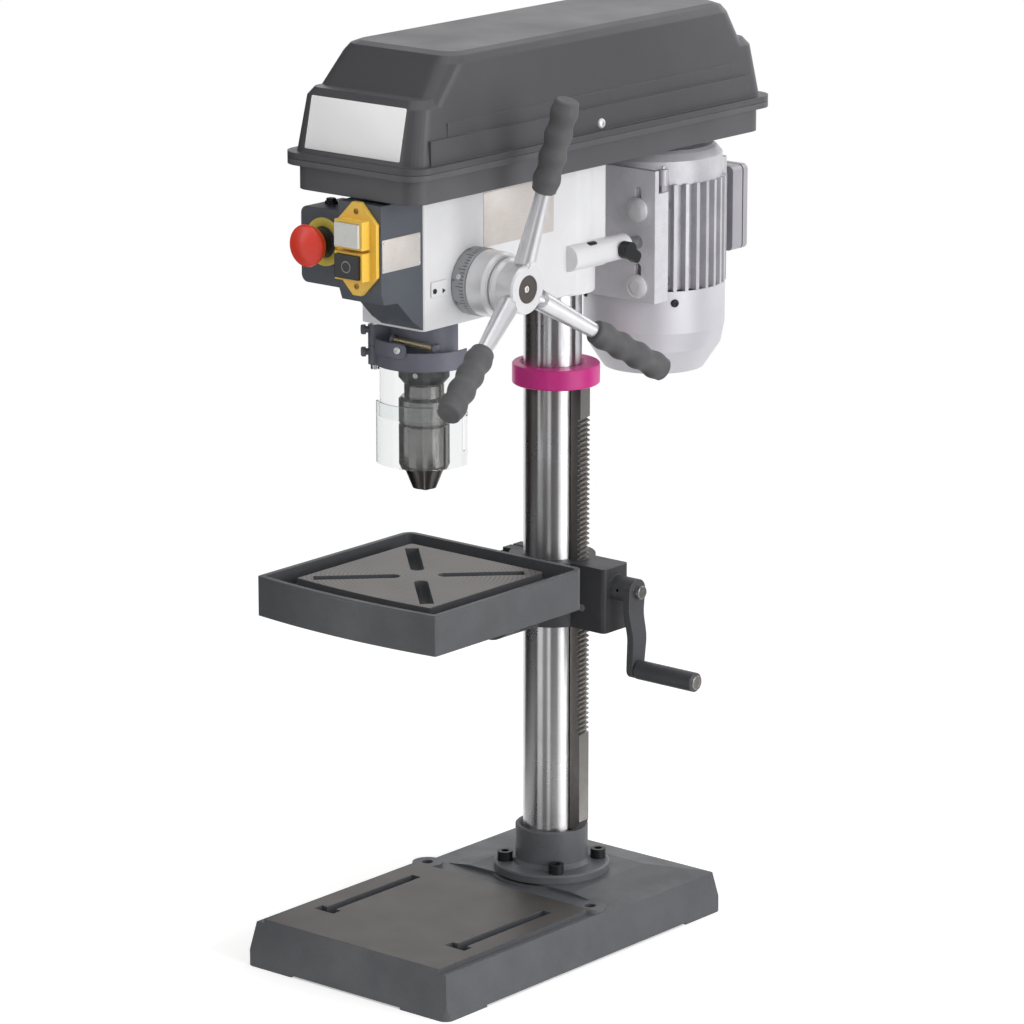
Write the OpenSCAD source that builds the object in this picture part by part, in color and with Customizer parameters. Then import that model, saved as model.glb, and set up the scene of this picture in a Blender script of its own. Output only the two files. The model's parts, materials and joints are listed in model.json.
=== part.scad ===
// Benchtop drill press: cast base, round column, rack-driven table, belt-driven head and rear motor.
// X is the operator's right, Y points to the back and Z points up. The origin is on the bench,
// midway between the two bench bolt holes.

/* [Base] */
// Width of the base casting
base_w = 270; // [250:1:320]
// Front edge of the base, ahead of the bench bolts
base_front = 255; // [235:1:300]
// Back edge of the base, behind the bench bolts
base_rear = 191; // [175:1:230]
// Height of the base at the column flange
base_h = 50; // [46:1:60]
// Thickness of the base's top plate
base_top_t = 14; // [11:0.5:18]
// Thickness of the base's side walls
base_wall = 13; // [9:0.5:18]
// Slope of the base's sides, from bottom to top
base_draft = 9; // [4:0.5:12]
// Step from the cast ledge up to the machined pad
pad_step = 4; // [2:0.5:6]
// Distance from the base's side to a bench bolt
bolt_inset = 25; // [22:0.5:32]
// Diameter of a bench bolt hole
bolt_hole_d = 12; // [8:0.5:14]
// Distance from the base's side to the middle of a T-slot
slot_inset = 47; // [42:1:60]
// Width of a T-slot
slot_w = 12; // [8:0.5:16]
// Length of a T-slot
slot_l = 145; // [110:1:160]

/* [Column] */
// Column axis behind the bench bolts
column_y = 72; // [66:1:80]
// Diameter of the column
column_d = 60; // [54:0.5:66]
// Wall of the column tube
column_wall = 5; // [3:0.5:8]
// Diameter of the column flange
flange_d = 121; // [118:1:132]
// Thickness of the column flange
flange_t = 9; // [7:0.5:14]
// Diameter of the flange's hub
flange_hub_d = 76; // [72:0.5:80]
// Height of the flange with its hub
flange_h = 49; // [40:1:60]
// Bolt circle of the flange screws
flange_pcd = 98; // [97:0.5:102]

/* [Rack] */
// Width of the rack
rack_w = 15; // [12:0.5:18]
// Depth of the rack, from the column outwards
rack_t = 13; // [11:0.5:15]
// Tooth pitch of the rack
rack_pitch = 5.2; // [4.5:0.1:6]
// Height of the first rack tooth above the bench
rack_start = 206; // [180:1:215]
// Number of rack teeth
rack_teeth = 65; // [55:1:68]

/* [Table] */
// Height of the table's rim above the bench
table_z = 413; // [380:1:430]
// Width of the table
table_w = 234; // [215:1:260]
// Depth of the table, front to back
table_l = 238; // [225:1:260]
// Gap from the column axis to the table's back edge
table_back = 91; // [88:1:100]
// How far the table's front edge is bowed out
table_bow = 8; // [4:0.5:14]
// Height of the table's skirt
skirt_h = 41; // [36:1:50]
// Thickness of the table's rim
rim_t = 5.5; // [4:0.5:8]
// Width of the drain channel round the machined plate
channel_w = 24; // [18:1:30]
// Depth of the drain channel
channel_d = 15; // [10:0.5:20]
// Drop from the rim to the machined plate
plate_drop = 2.5; // [1:0.5:5]
// Width of the table's slots
table_slot_w = 14; // [10:0.5:16]

/* [Table lift] */
// Height of the table bracket
bracket_h = 68; // [64:1:80]
// Wall of the bracket round the column
bracket_wall = 15; // [11:0.5:18]
// Drop from the table's rim to the bracket's top
bracket_drop = 22; // [18:1:28]
// Teeth of the lift gear
gear_teeth = 16; // [14:1:18]
// Pitch radius of the worm
worm_r = 8; // [7:0.25:9]
// Crank radius
crank_r = 80; // [60:1:95]
// Length of the crank's grip
crank_grip_l = 75; // [55:1:95]
// Diameter of the crank's grip
crank_grip_d = 20; // [17:0.5:24]

/* [Head] */
// Height of the head's underside above the bench
head_z = 672; // [650:1:720]
// Height of the head casting
head_h = 137; // [132:1:150]
// Width of the head casting
head_w = 82; // [78:1:94]
// Throat, from the column axis to the spindle axis
throat = 201; // [185:1:220]
// Front of the head ahead of the spindle
head_front = 48.5; // [46:0.5:56]
// Back of the head's sides behind the column axis
head_back = 38; // [36:0.5:46]

/* [Quill and chuck] */
// Diameter of the quill
quill_d = 42; // [40:0.5:46]
// Stroke of the quill
quill_stroke = 65; // [50:1:68]
// Height of the quill boss below the head
boss_h = 44; // [38:1:50]
// Feed shaft behind the spindle axis
feed_offset = 27; // [26.5:0.25:28]
// Feed shaft above the head's underside
feed_rise = 40; // [36:0.5:46]
// Teeth of the feed pinion
pinion_teeth = 12; // [11:1:13]
// Diameter of the chuck
chuck_d = 51; // [50:0.5:56]
// Height of the chuck's turning sleeve
sleeve_h = 47; // [44:0.5:56]

/* [Feed handle] */
// Diameter of the depth ring
depth_ring_d = 68; // [62:0.5:74]
// Width of the depth ring
depth_ring_w = 17; // [13:0.5:22]
// Reach of the feed arms from the feed shaft
arm_reach = 193; // [160:1:210]
// Outward lean of the feed arms, in degrees
arm_lean = 16; // [10:0.5:18]
// Length of a feed grip
feed_grip_l = 96; // [80:1:105]
// Diameter of a feed grip
feed_grip_d = 28; // [24:0.5:32]

/* [Switches] */
// Width of the switch box
box_w = 54; // [54:0.5:66]
// Depth of the switch box ahead of the head
box_l = 61.5; // [56:0.5:70]
// Width of the emergency stop's box
estop_box_w = 57; // [50:0.5:64]
// Diameter of the emergency stop's mushroom
mushroom_d = 42; // [36:0.5:44]
// Width of a push button
button_w = 30; // [24:0.5:32]
// Height of a push button
button_h = 23; // [18:0.5:25]
// Travel of a push button
button_travel = 3; // [2:0.25:4]

/* [Chuck guard] */
// Outer radius of the guard's shield
shield_r = 48.6; // [46:0.2:52]
// Wall of the clear shields
shield_t = 1.8; // [1.2:0.1:2.4]
// Height of each shield
shield_h = 63; // [55:1:70]
// Coil radius of the guard's spring
spring_r = 3; // [2.4:0.1:3.4]
// Wire radius of the guard's spring
wire_r = 0.55; // [0.4:0.05:0.7]
// Number of curls in the guard's spring
spring_curls = 13; // [9:1:15]

/* [Belt drive and hood] */
// Width of the hood's rim
hood_w = 178.6; // [172:0.2:200]
// Front of the hood ahead of the spindle axis
hood_front = 114; // [108:1:130]
// Back of the hood behind the motor axis
hood_back = 91; // [88:1:110]
// Height of the belt tray under the hood
tray_h = 31; // [26:1:36]
// Height of the hood above the belt tray
hood_h = 108; // [104:1:125]
// Wall of the hood and the belt tray
hood_t = 3; // [2:0.25:4]
// Largest pulley radius
pulley_r = 55; // [50:0.5:58]
// Drop of radius from one pulley step to the next
pulley_drop = 7; // [5:0.5:8]
// Height of one pulley step
step_h = 15; // [13:0.5:16]

/* [Motor] */
// Motor axis behind the column axis
motor_offset = 167; // [160:1:180]
// Radius of the motor over its fins
motor_r = 75; // [70:0.5:80]
// Height of the finned motor body
fin_h = 112; // [100:1:120]
// Depth of the motor's cooling fins
fin_d = 9; // [6:0.5:11]
// Number of cooling fins
fins = 36; // [28:1:40]
// Height of the fan cover
fan_cover_h = 91; // [80:1:105]
// Width of the motor plate
motor_plate_w = 130; // [126:1:140]
// Distance between the slide bars
bar_spacing = 84; // [82:0.5:92]

/* [Hidden] */
$fn = 64;
hull_fn = 32;
fit = 0.05;       // radial gap of a seat or a running fit
clear = 0.3;      // gap between moving pieces
cut = 1;          // how far a cutter runs past a face

cast_color = "#55575c";
iron_color = "#5f6064";
steel_color = "#c9cacd";
dark_color = "#26272a";
white_color = "#e6e6e8";
hood_color = "#4a4a4e";
box_color = "#50555c";
motor_color = "#b9b9bd";
yellow_color = "#e8b93c";
clear_color = [0.85, 0.9, 0.92, 0.35];

// Axes and levels shared by the pieces
column_r = column_d / 2;
spindle_y = column_y - throat;
feed_y = spindle_y + feed_offset;
feed_z = head_z + feed_rise;
motor_y = column_y + motor_offset;
head_top = head_z + head_h;
boss_z = head_z - boss_h;

// Tooth proportions, with pressure angle and backlash
pressure = 20;
backlash = 0.35;
addendum = 0.8;
dedendum = 1.25;
flank_steps = 4;

// A point on the involute of a circle of radius rb after it has unrolled through t degrees
function involute(rb, t) = rb * [cos(t) + t * PI / 180 * sin(t), sin(t) - t * PI / 180 * cos(t)];
function turn(p, a) = [p[0] * cos(a) - p[1] * sin(a), p[0] * sin(a) + p[1] * cos(a)];
function flip(p) = [p[0], -p[1]];
function unroll(rb, r) = sqrt(max(r * r / (rb * rb) - 1, 0)) * 180 / PI;

// One flank of a tooth that points along +X, from its root to its tip
function flank(n, pitch) =
  let (m = pitch / PI, rp = n * m / 2, rb = rp * cos(pressure))
  let (half = (pitch / 2 - backlash) / 2 / rp * 180 / PI)
  let (base = half + tan(pressure) * 180 / PI - pressure)
  let (tip = unroll(rb, rp + addendum * m), start = unroll(rb, rp - 0.4 * m))
  concat([turn([rp - dedendum * m, 0], -base - 1)],
     [for (k = [0 : flank_steps]) turn(involute(rb, start + (tip - start) * k / flank_steps), -base)]);

// Outline of a spur gear with its first tooth along +X
module gear_outline(n, pitch) {
  side = flank(n, pitch);
  last = len(side) - 1;
  tooth = concat(side, [for (k = [last : -1 : 0]) flip(side[k])]);
  polygon([for (k = [0 : n - 1]) for (p = tooth) turn(p, k * 360 / n)]);
}

// Gap between two rack teeth: depth runs along X from the pitch line, the pitch along Y
module rack_gap(pitch) {
  m = pitch / PI;
  half = pitch / 4 + backlash / 2;
  over = addendum * m + cut;
  under = dedendum * m;
  polygon([
    [-under, -half + under * tan(pressure)],
    [over, -half - over * tan(pressure)],
    [over, half + over * tan(pressure)],
    [-under, half - under * tan(pressure)]
  ]);
}

module rod_x(r, x0, x1) {
  translate([x0, 0, 0]) rotate([0, 90, 0]) cylinder(h = x1 - x0, r = r);
}

module rod_y(r, y0, y1) {
  translate([0, y0, 0]) rotate([-90, 0, 0]) cylinder(h = y1 - y0, r = r);
}

module rod_z(r, z0, z1) {
  translate([0, 0, z0]) cylinder(h = z1 - z0, r = r);
}

// A straight bar from one corner to the opposite one
module block(low, high) {
  translate(low) cube(high - low);
}

// An outline drawn as Y and Z, drawn out along X
module along_x(x0, x1) {
  translate([x0, 0, 0]) rotate([90, 0, 90]) linear_extrude(x1 - x0) children();
}

// An outline drawn as X and Z, drawn out along Y
module along_y(y0, y1) {
  translate([0, y1, 0]) rotate([90, 0, 0]) linear_extrude(y1 - y0) children();
}

module rounded_plan(x0, x1, y0, y1, r) {
  translate([x0 + r, y0]) square([x1 - x0 - 2 * r, y1 - y0]);
  translate([x0, y0 + r]) square([x1 - x0, y1 - y0 - 2 * r]);
  for (x = [x0 + r, x1 - r], y = [y0 + r, y1 - r])
    translate([x, y]) circle(r);
}

// A pie slice from angle a0 to a1, wide enough to cut a ring of radius r
module slice(r, a0, a1) {
  steps = 8;
  reach = r * 1.5;
  polygon(concat([[0, 0]],
    [for (k = [0 : steps]) let (a = a0 + (a1 - a0) * k / steps) reach * [cos(a), sin(a)]]));
}

module arc_wall(r0, r1, a0, a1, h) {
  linear_extrude(h) intersection() {
    difference() {
      circle(r1);
      circle(r0);
    }
    slice(r1, a0, a1);
  }
}

// Base casting
bolt_x = base_w / 2 - bolt_inset;
slot_x = base_w / 2 - slot_inset;
ledge_h = base_h - pad_step;
ledge_back = 20;                  // where the flat front part of the base gives way to the crowned back
slot_back = -43;                  // back end of the T-slots
base_corner = 10;
pad_inset = 9;
pillar_r = 16;
seat_r = flange_d / 2 + 4;
seat_t = 28;
foot_l = 62;
relief_h = 2;
entry_w = 26;
entry_l = 12;
crown_edge = ledge_h - 5;
crown_flat = seat_r + 5;           // half width of the level part round the flange
pad_back = -9;                    // back edge of the machined pad
screw_r = 5;
screw_grip = 18;
rib_t = 8;

module base_block(h, half_w, y0, y1) {
  intersection() {
    linear_extrude(h) rounded_plan(-base_w / 2, base_w / 2, -base_front, base_rear, base_corner);
    along_y(-base_front, base_rear) polygon([[-base_w / 2, 0], [base_w / 2, 0],
        [base_w / 2 - base_draft, base_h], [-base_w / 2 + base_draft, base_h]]);
    along_x(-base_w / 2, base_w / 2) polygon([[-base_front, 0], [base_rear, 0],
        [base_rear - base_draft, base_h], [-base_front + base_draft, base_h]]);
    block([-half_w, y0, 0], [half_w, y1, h]);
  }
}

module base_crown() {
  half = base_w / 2;
  intersection() {
    base_block(base_h, half, ledge_back, base_rear);
    along_y(ledge_back, base_rear)
      polygon([[-half, 0], [half, 0], [half, crown_edge], [crown_flat, base_h],
          [-crown_flat, base_h], [-half, crown_edge]]);
    along_x(-half, half) polygon([[ledge_back, 0], [base_rear, 0], [base_rear, crown_edge],
        [column_y + crown_flat, base_h], [ledge_back, base_h]]);
  }
}

module base_cavity() {
  translate([0, 0, -cut]) linear_extrude(base_h - base_top_t + cut)
    rounded_plan(-base_w / 2 + base_wall, base_w / 2 - base_wall,
          -base_front + base_wall, base_rear - base_wall, base_corner);
}

// Lifts the bottom edge between the four corner feet
module base_relief() {
  block([-base_w / 2 + foot_l, -base_front - cut, -cut], [base_w / 2 - foot_l, base_rear + cut,
      relief_h]);
  block([-base_w / 2 - cut, -base_front + foot_l, -cut], [base_w / 2 + cut, base_rear - foot_l,
      relief_h]);
}

module base() {
  color(cast_color) difference() {
    union() {
      difference() {
        union() {
          base_block(ledge_h, base_w / 2, -base_front, ledge_back);
          base_block(base_h, base_w / 2 - base_draft - pad_inset, -base_front, pad_back);
          base_crown();
        }
        base_cavity();
        base_relief();
      }
      for (x = [-bolt_x, bolt_x])
        translate([x, 0, 0]) rod_z(pillar_r, 0, base_h);
      translate([0, column_y, 0]) rod_z(seat_r, base_h - seat_t, base_h - 2 * cut);
      block([-bolt_x, -rib_t / 2, relief_h], [bolt_x, rib_t / 2, base_h - base_top_t + cut]);
    }
    for (x = [-bolt_x, bolt_x])
      translate([x, 0, 0]) rod_z(bolt_hole_d / 2, -cut, base_h + cut);
    for (x = [-slot_x, slot_x]) {
      block([x - slot_w / 2, slot_back - slot_l, base_h - base_top_t - cut],
         [x + slot_w / 2, slot_back, base_h + cut]);
      block([x - entry_w / 2, slot_back - slot_l, base_h - base_top_t - cut],
         [x + entry_w / 2, slot_back - slot_l + entry_l, base_h + cut]);
    }
    flange_pattern() rod_z(screw_r + fit, base_h - screw_grip - cut, base_h + cut);
  }
}

module flange_pattern() {
  translate([0, column_y, 0]) for (k = [0 : 3]) rotate([0, 0, 45 + 90 * k])
    translate([flange_pcd / 2, 0, 0]) children();
}

// Flange, column and rack
hub_fillet = 4;
hub_bevel = 4;
flange_top = base_h + flange_h;
screw_head_r = 8;
screw_head_h = 10;
socket_r = 4.6;
column_in_head = 115;
rack_in = column_r + clear;
rack_face = rack_in + rack_t;
rack_module = rack_pitch / PI;
rack_line = rack_face - addendum * rack_module;
rack_seat = 16;                   // how far the rack reaches up into its collar
collar_h = 21;
collar_shift = 4.5;
collar_t = 6;
rack_end = rack_start + rack_teeth * rack_pitch + 29;
collar_z = rack_end;
lead_angle = atan(rack_pitch / (2 * PI * worm_r));

module column_flange() {
  r = flange_hub_d / 2;
  bore = column_r + fit;
  color(cast_color) difference() {
    translate([0, column_y, base_h]) rotate_extrude()
      polygon([[bore, 0], [flange_d / 2, 0], [flange_d / 2, flange_t - 1.5],
          [flange_d / 2 - 1.5, flange_t], [r + hub_fillet, flange_t], [r, flange_t + hub_fillet],
          [r, flange_h - 1], [r - 1, flange_h], [bore + hub_bevel, flange_h], [bore,
              flange_h - hub_bevel]]);
    flange_pattern() rod_z(screw_r + clear, base_h - cut, base_h + flange_t + cut);
    flange_pattern()
      rod_z(screw_head_r + clear, base_h + flange_t, base_h + flange_t + hub_fillet + cut);
  }
}

module flange_screws() {
  z = base_h + flange_t;
  color(dark_color) flange_pattern() difference() {
    union() {
      rod_z(screw_r, base_h - screw_grip, z + cut);
      rod_z(screw_head_r, z, z + screw_head_h);
    }
    translate([0, 0, z + screw_head_h / 2]) cylinder(h = screw_head_h, r = socket_r, $fn = 6);
  }
}

module column() {
  color(steel_color) translate([0, column_y, 0]) difference() {
    rod_z(column_r, base_h, head_z + column_in_head);
    rod_z(column_r - column_wall, base_h - cut, head_z + column_in_head + cut);
  }
}

// Rack bar with slanted teeth on its outer face and a bevelled foot on the flange's hub
module rack() {
  foot = flange_top + clear;
  bevel = 10;
  color(steel_color) translate([0, column_y, 0]) difference() {
    along_y(-rack_w / 2, rack_w / 2)
      polygon([[rack_in, foot], [rack_face - bevel / 2, foot], [rack_face, foot + bevel],
          [rack_face, rack_end + rack_seat], [rack_in, rack_end + rack_seat]]);
    for (k = [0 : rack_teeth - 1])
      translate([rack_line, 0, rack_start + k * rack_pitch]) rotate([90 + lead_angle, 0, 0])
        translate([0, 0, -rack_w]) linear_extrude(2 * rack_w) rack_gap(rack_pitch * cos(lead_angle));
  }
}

// Eccentric ring that keeps the top of the rack against the column
module rack_collar() {
  outer = (rack_face + clear + collar_t) - collar_shift;
  color("#c0307f") translate([0, column_y, collar_z]) difference() {
    translate([collar_shift, 0, 0]) rotate_extrude()
      polygon([[0, 0], [outer - 1, 0], [outer, 1], [outer, collar_h - 1], [outer - 1, collar_h], [0,
          collar_h]]);
    rod_z(column_r + fit, -cut, collar_h + cut);
    translate([0, 0, collar_h - hub_bevel])
      cylinder(h = hub_bevel + cut, r1 = column_r, r2 = column_r + hub_bevel + cut);
    block([0, -rack_w / 2 - fit, -cut], [rack_face + fit, rack_w / 2 + fit, rack_seat + fit]);
  }
}

// Table bracket with the lift's gear box
bracket_top = table_z - bracket_drop;
bracket_z = bracket_top - bracket_h;
bracket_r = column_r + bracket_wall;
gear_r = gear_teeth * rack_module / 2;
gear_x = rack_line + gear_r * cos(lead_angle);
gear_w = 12;
gear_z = bracket_z + 25;
gear_pin_r = 4;
worm_z = gear_z + (gear_r + worm_r) * cos(lead_angle);
worm_core = worm_r - dedendum * rack_module;
worm_tip = worm_r + addendum * rack_module;
worm_in = gear_x - 9;
worm_out = gear_x + 9;
gearbox_x = gear_x + gear_r + 17;
gearbox_half = 20;
journal_r = 7;
tilt_z = bracket_z + 29;
tilt_r = 32;
tilt_face = -table_back + 13;     // joint face of the tilting table, from the column axis
tilt_bolt_r = 6;
tilt_bolt_in = 18;
lug_x = -column_r - 24;
lug_half = 12;
lug_gap = 3;
lug_z = bracket_top - 16;
clamp_r = 5;

module at_gear() {
  translate([gear_x, column_y, gear_z]) rotate([lead_angle, 0, 0]) rotate([90, 0, 0]) children();
}

// Round-ended lug on the left, split so that the clamp bolt can draw the bracket tight
module clamp_lug() {
  translate([0, 0, bracket_z + 8]) linear_extrude(bracket_h - 8) union() {
    translate([lug_x, -lug_half - lug_gap]) square([-lug_x - column_r / 2, 2 * (lug_half + lug_gap)]);
  }
  translate([lug_x, 0, lug_z]) rod_y(12, -lug_half - lug_gap, lug_half + lug_gap);
}

module table_bracket() {
  corner = 5;
  color(cast_color) difference() {
    translate([0, column_y, 0]) difference() {
      union() {
        rod_z(bracket_r, bracket_z, bracket_top);
        translate([0, 0, bracket_z]) linear_extrude(bracket_h)
          rounded_plan(0, gearbox_x, -gearbox_half, gearbox_half, corner);
        translate([gearbox_x, 0, worm_z]) rod_x(worm_r + 6, -cut, 2);
        translate([0, 0, tilt_z]) rod_y(tilt_r, tilt_face, 0);
        clamp_lug();
      }
      rod_z(column_r + fit, bracket_z - tilt_r, bracket_top + cut);
      block([0, -rack_w / 2 - clear, bracket_z - cut], [rack_face + clear, rack_w / 2 + clear,
          bracket_top + cut]);
      block([lug_x - 20, -lug_gap / 2, bracket_z - cut], [0, lug_gap / 2, bracket_top + cut]);
      translate([lug_x, 0, lug_z]) rod_y(clamp_r + fit, -column_r, column_r);
      translate([0, 0, worm_z]) {
        rod_x(worm_tip + clear, rack_face, worm_out + clear);
        rod_x(journal_r + fit, worm_out, gearbox_x + 2 + cut);
      }
      translate([0, 0, tilt_z])
        rod_y(tilt_bolt_r + fit, tilt_face - cut, tilt_face + tilt_bolt_in + clear);
    }
    at_gear() rod_z(gear_r + addendum * rack_module + clear, -gear_w / 2 - clear, gear_w / 2 + clear);
    at_gear() rod_z(gear_pin_r + fit, -2 * gearbox_half, 2 * gearbox_half);
  }
}

// Lift gear, turned so that its teeth meet the rack's gaps at the table's height
module lift_gear() {
  near = rack_start + rack_pitch * round((gear_z - rack_start) / rack_pitch);
  phase = (near - gear_z) / gear_r * 180 / PI;
  color(steel_color) at_gear() rotate([0, 0, 180 - phase]) translate([0, 0, -gear_w / 2]) difference() {
    linear_extrude(gear_w) gear_outline(gear_teeth, rack_pitch * cos(lead_angle));
    rod_z(gear_pin_r + fit, -cut, gear_w + cut);
  }
}

module lift_gear_pin() {
  color(steel_color) at_gear()
    rod_z(gear_pin_r, -gearbox_half / cos(lead_angle), gearbox_half / cos(lead_angle));
}

// Crank: worm shaft, dog-leg arm and loose grip
crank_hub_x = gearbox_x + 2 + clear;
crank_hub_l = 17;
crank_t = 8;
crank_jog = 7;
crank_hub_r = 13;
crank_end_r = 9.5;
crank_tilt = -5;
arm_x = crank_hub_x + crank_hub_l;
arm_out = arm_x + crank_t + crank_jog;
stud_r = 4;

module worm_shaft() {
  color(steel_color) translate([0, column_y, worm_z]) {
    rod_x(worm_core, worm_in, worm_out + cut);
    rod_x(journal_r, worm_out + clear, arm_x + crank_t);
  }
}

function s_curve(t) = (1 - cos(180 * t)) / 2;

// Side view of the crank arm: a strap that steps outwards between its two ends
module crank_strap() {
  steps = 10;
  top = crank_hub_r + cut;
  bottom = -crank_r - crank_end_r - cut;
  inner = concat([[0, top]],
    [for (k = [0 : steps]) [crank_jog * s_curve(k / steps), -crank_r * (0.2 + 0.45 * k / steps)]],
    [[crank_jog, bottom]]);
  last = len(inner) - 1;
  polygon(concat(inner, [for (k = [last : -1 : 0]) inner[k] + [crank_t, 0]]));
}

module crank_arm() {
  side = [crank_hub_r - crank_end_r, crank_r];
  tilt = asin(side[0] / norm(side));
  color(cast_color) translate([0, column_y, worm_z]) rotate([crank_tilt, 0, 0]) difference() {
    union() {
      rod_x(crank_hub_r, crank_hub_x, arm_x + cut);
      intersection() {
        translate([arm_x, 0, 0]) along_y(-2 * crank_hub_r, 2 * crank_hub_r) crank_strap();
        along_x(arm_x - cut, arm_out + cut) {
          circle(crank_hub_r);
          translate([0, -crank_r]) circle(crank_end_r);
          polygon([turn([crank_hub_r, 0], tilt * -1), turn([-crank_hub_r, 0], tilt),
              [-crank_end_r * cos(tilt), -crank_r - crank_end_r * sin(tilt)],
              [crank_end_r * cos(tilt), -crank_r - crank_end_r * sin(tilt)]]);
        }
      }
      translate([0, 0, -crank_r]) rod_x(stud_r, arm_out - cut, arm_out + crank_grip_l - 2);
    }
    rod_x(journal_r + fit, crank_hub_x - cut, arm_out + cut);
    translate([arm_x - crank_hub_l / 2, 0, 0]) rod_y(2, -2 * crank_hub_r, 0);
  }
}

module crank_grip() {
  r = crank_grip_d / 2;
  bevel = 1.5;
  color(dark_color) translate([arm_out + clear, column_y, worm_z]) rotate([crank_tilt, 0, 0])
    translate([0, 0, -crank_r]) rotate([0, 90, 0]) rotate_extrude()
      polygon([[stud_r + fit, 0], [r - bevel, 0], [r, bevel], [r, crank_grip_l - bevel],
          [r - bevel, crank_grip_l], [stud_r + fit, crank_grip_l]]);
}

// Clamp bolt with its lever
module clamp_lever() {
  hub_r = 11;
  hub_l = 14;
  lever_l = 52;
  lever_r = 5;
  knob_r = 8;
  neck_a = asin(lever_r / knob_r);
  face = lug_half + lug_gap + clear;
  color(dark_color) translate([lug_x, column_y, lug_z]) {
    rod_y(clamp_r, -face, face);
    rod_y(hub_r, -face - hub_l, -face);
    rod_y(hub_r, face, face + hub_l / 2);
    translate([0, -face - hub_l / 2, 0]) rotate([0, -90, 0]) rotate_extrude()
      polygon(concat([[0, 0], [lever_r, 0]], [for (k = [0 : 8]) let (a = neck_a + (180 - neck_a) * k / 8)
          [knob_r * sin(a), lever_l - knob_r * cos(a)]]));
  }
}

// Table: a tray with a machined plate, four diagonal slots and a boss that tilts on the bracket
table_half = table_w / 2;
table_rear = column_y - table_back;
table_front = table_rear - table_l;
table_mid = (table_front + table_rear) / 2;
table_bottom = table_z - skirt_h;
plate_z = table_z - plate_drop;
channel_z = plate_z - channel_d;
table_t = 12;
table_corner = 12;
plate_inset = rim_t + channel_w;
slot_in = 26;
slot_out = 106;
table_boss_l = 24;
table_wall = 8;

// Plan of the table: a rounded rectangle whose front edge is an arc
module table_plan(inset) {
  half = table_half - inset;
  back = table_rear - inset;
  front = table_front + inset;
  bow_r = (table_half * table_half + table_bow * table_bow) / (2 * table_bow);
  intersection() {
    rounded_plan(-half, half, front, back, max(table_corner - inset, 3));
    translate([0, table_front + bow_r]) circle(bow_r - inset, $fn = 128);
  }
}

module table_slots() {
  for (a = [45 : 90 : 315])
    translate([0, table_mid, 0]) rotate([0, 0, a]) {
      block([slot_in, -table_slot_w / 2, table_bottom], [slot_out, table_slot_w / 2, table_z + cut]);
      translate([slot_in, 0, 0]) rod_z(table_slot_w / 2, table_bottom, table_z + cut);
    }
}

module table_tray() {
  rib = 7;
  boss_front = column_y + tilt_face - clear - table_boss_l;
  color(iron_color) difference() {
    union() {
      difference() {
        translate([0, 0, table_bottom]) linear_extrude(skirt_h) table_plan(0);
        translate([0, 0, channel_z]) linear_extrude(skirt_h) table_plan(rim_t);
        translate([0, 0, table_bottom - cut]) linear_extrude(channel_z - 8 - table_bottom + cut)
          table_plan(table_wall);
      }
      translate([0, 0, channel_z - 8]) linear_extrude(plate_z - channel_z + 8) table_plan(plate_inset);
      block([-table_half + table_wall / 2, table_mid - rib / 2, table_bottom + rib],
         [table_half - table_wall / 2, table_mid + rib / 2, channel_z - 4]);
      block([-rib / 2, table_front + table_wall, table_bottom + rib],
         [rib / 2, table_rear - table_wall / 2, channel_z - 4]);
      translate([0, 0, tilt_z]) rod_y(tilt_r, boss_front, column_y + tilt_face - clear);
      block([-tilt_r + 6, boss_front, tilt_z], [tilt_r - 6, table_rear - table_wall / 2, channel_z - 4]);
    }
    table_slots();
    translate([0, 0, tilt_z]) rod_y(tilt_bolt_r + fit, boss_front - cut, column_y);
  }
}

module tilt_bolt() {
  head_l = 8;
  head_r = 10.5;
  seat = column_y + tilt_face - clear - table_boss_l - clear;
  color(dark_color) translate([0, 0, tilt_z]) {
    rod_y(tilt_bolt_r, seat - cut, column_y + tilt_face + tilt_bolt_in);
    translate([0, seat - head_l, 0]) rotate([-90, 0, 0]) cylinder(h = head_l, r = head_r, $fn = 6);
  }
}

// Head casting
head_corner = 6;
head_step = 23;                   // height of the step under the head's back end
head_boss_r = column_r + 13;
boss_r = quill_d / 2 + 7;
quill_top = feed_z + quill_stroke + 8;
bearing_z = quill_top + 3;
bearing_r = 24;
sleeve_r = 15;
shaft_r = 10.5;
bar_r = 7;
bar_z = head_z + 38;
bar_boss_r = 13;
bar_front = -28;
bar_back = 62;
wing_y = column_y + bar_back - 16;

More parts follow.
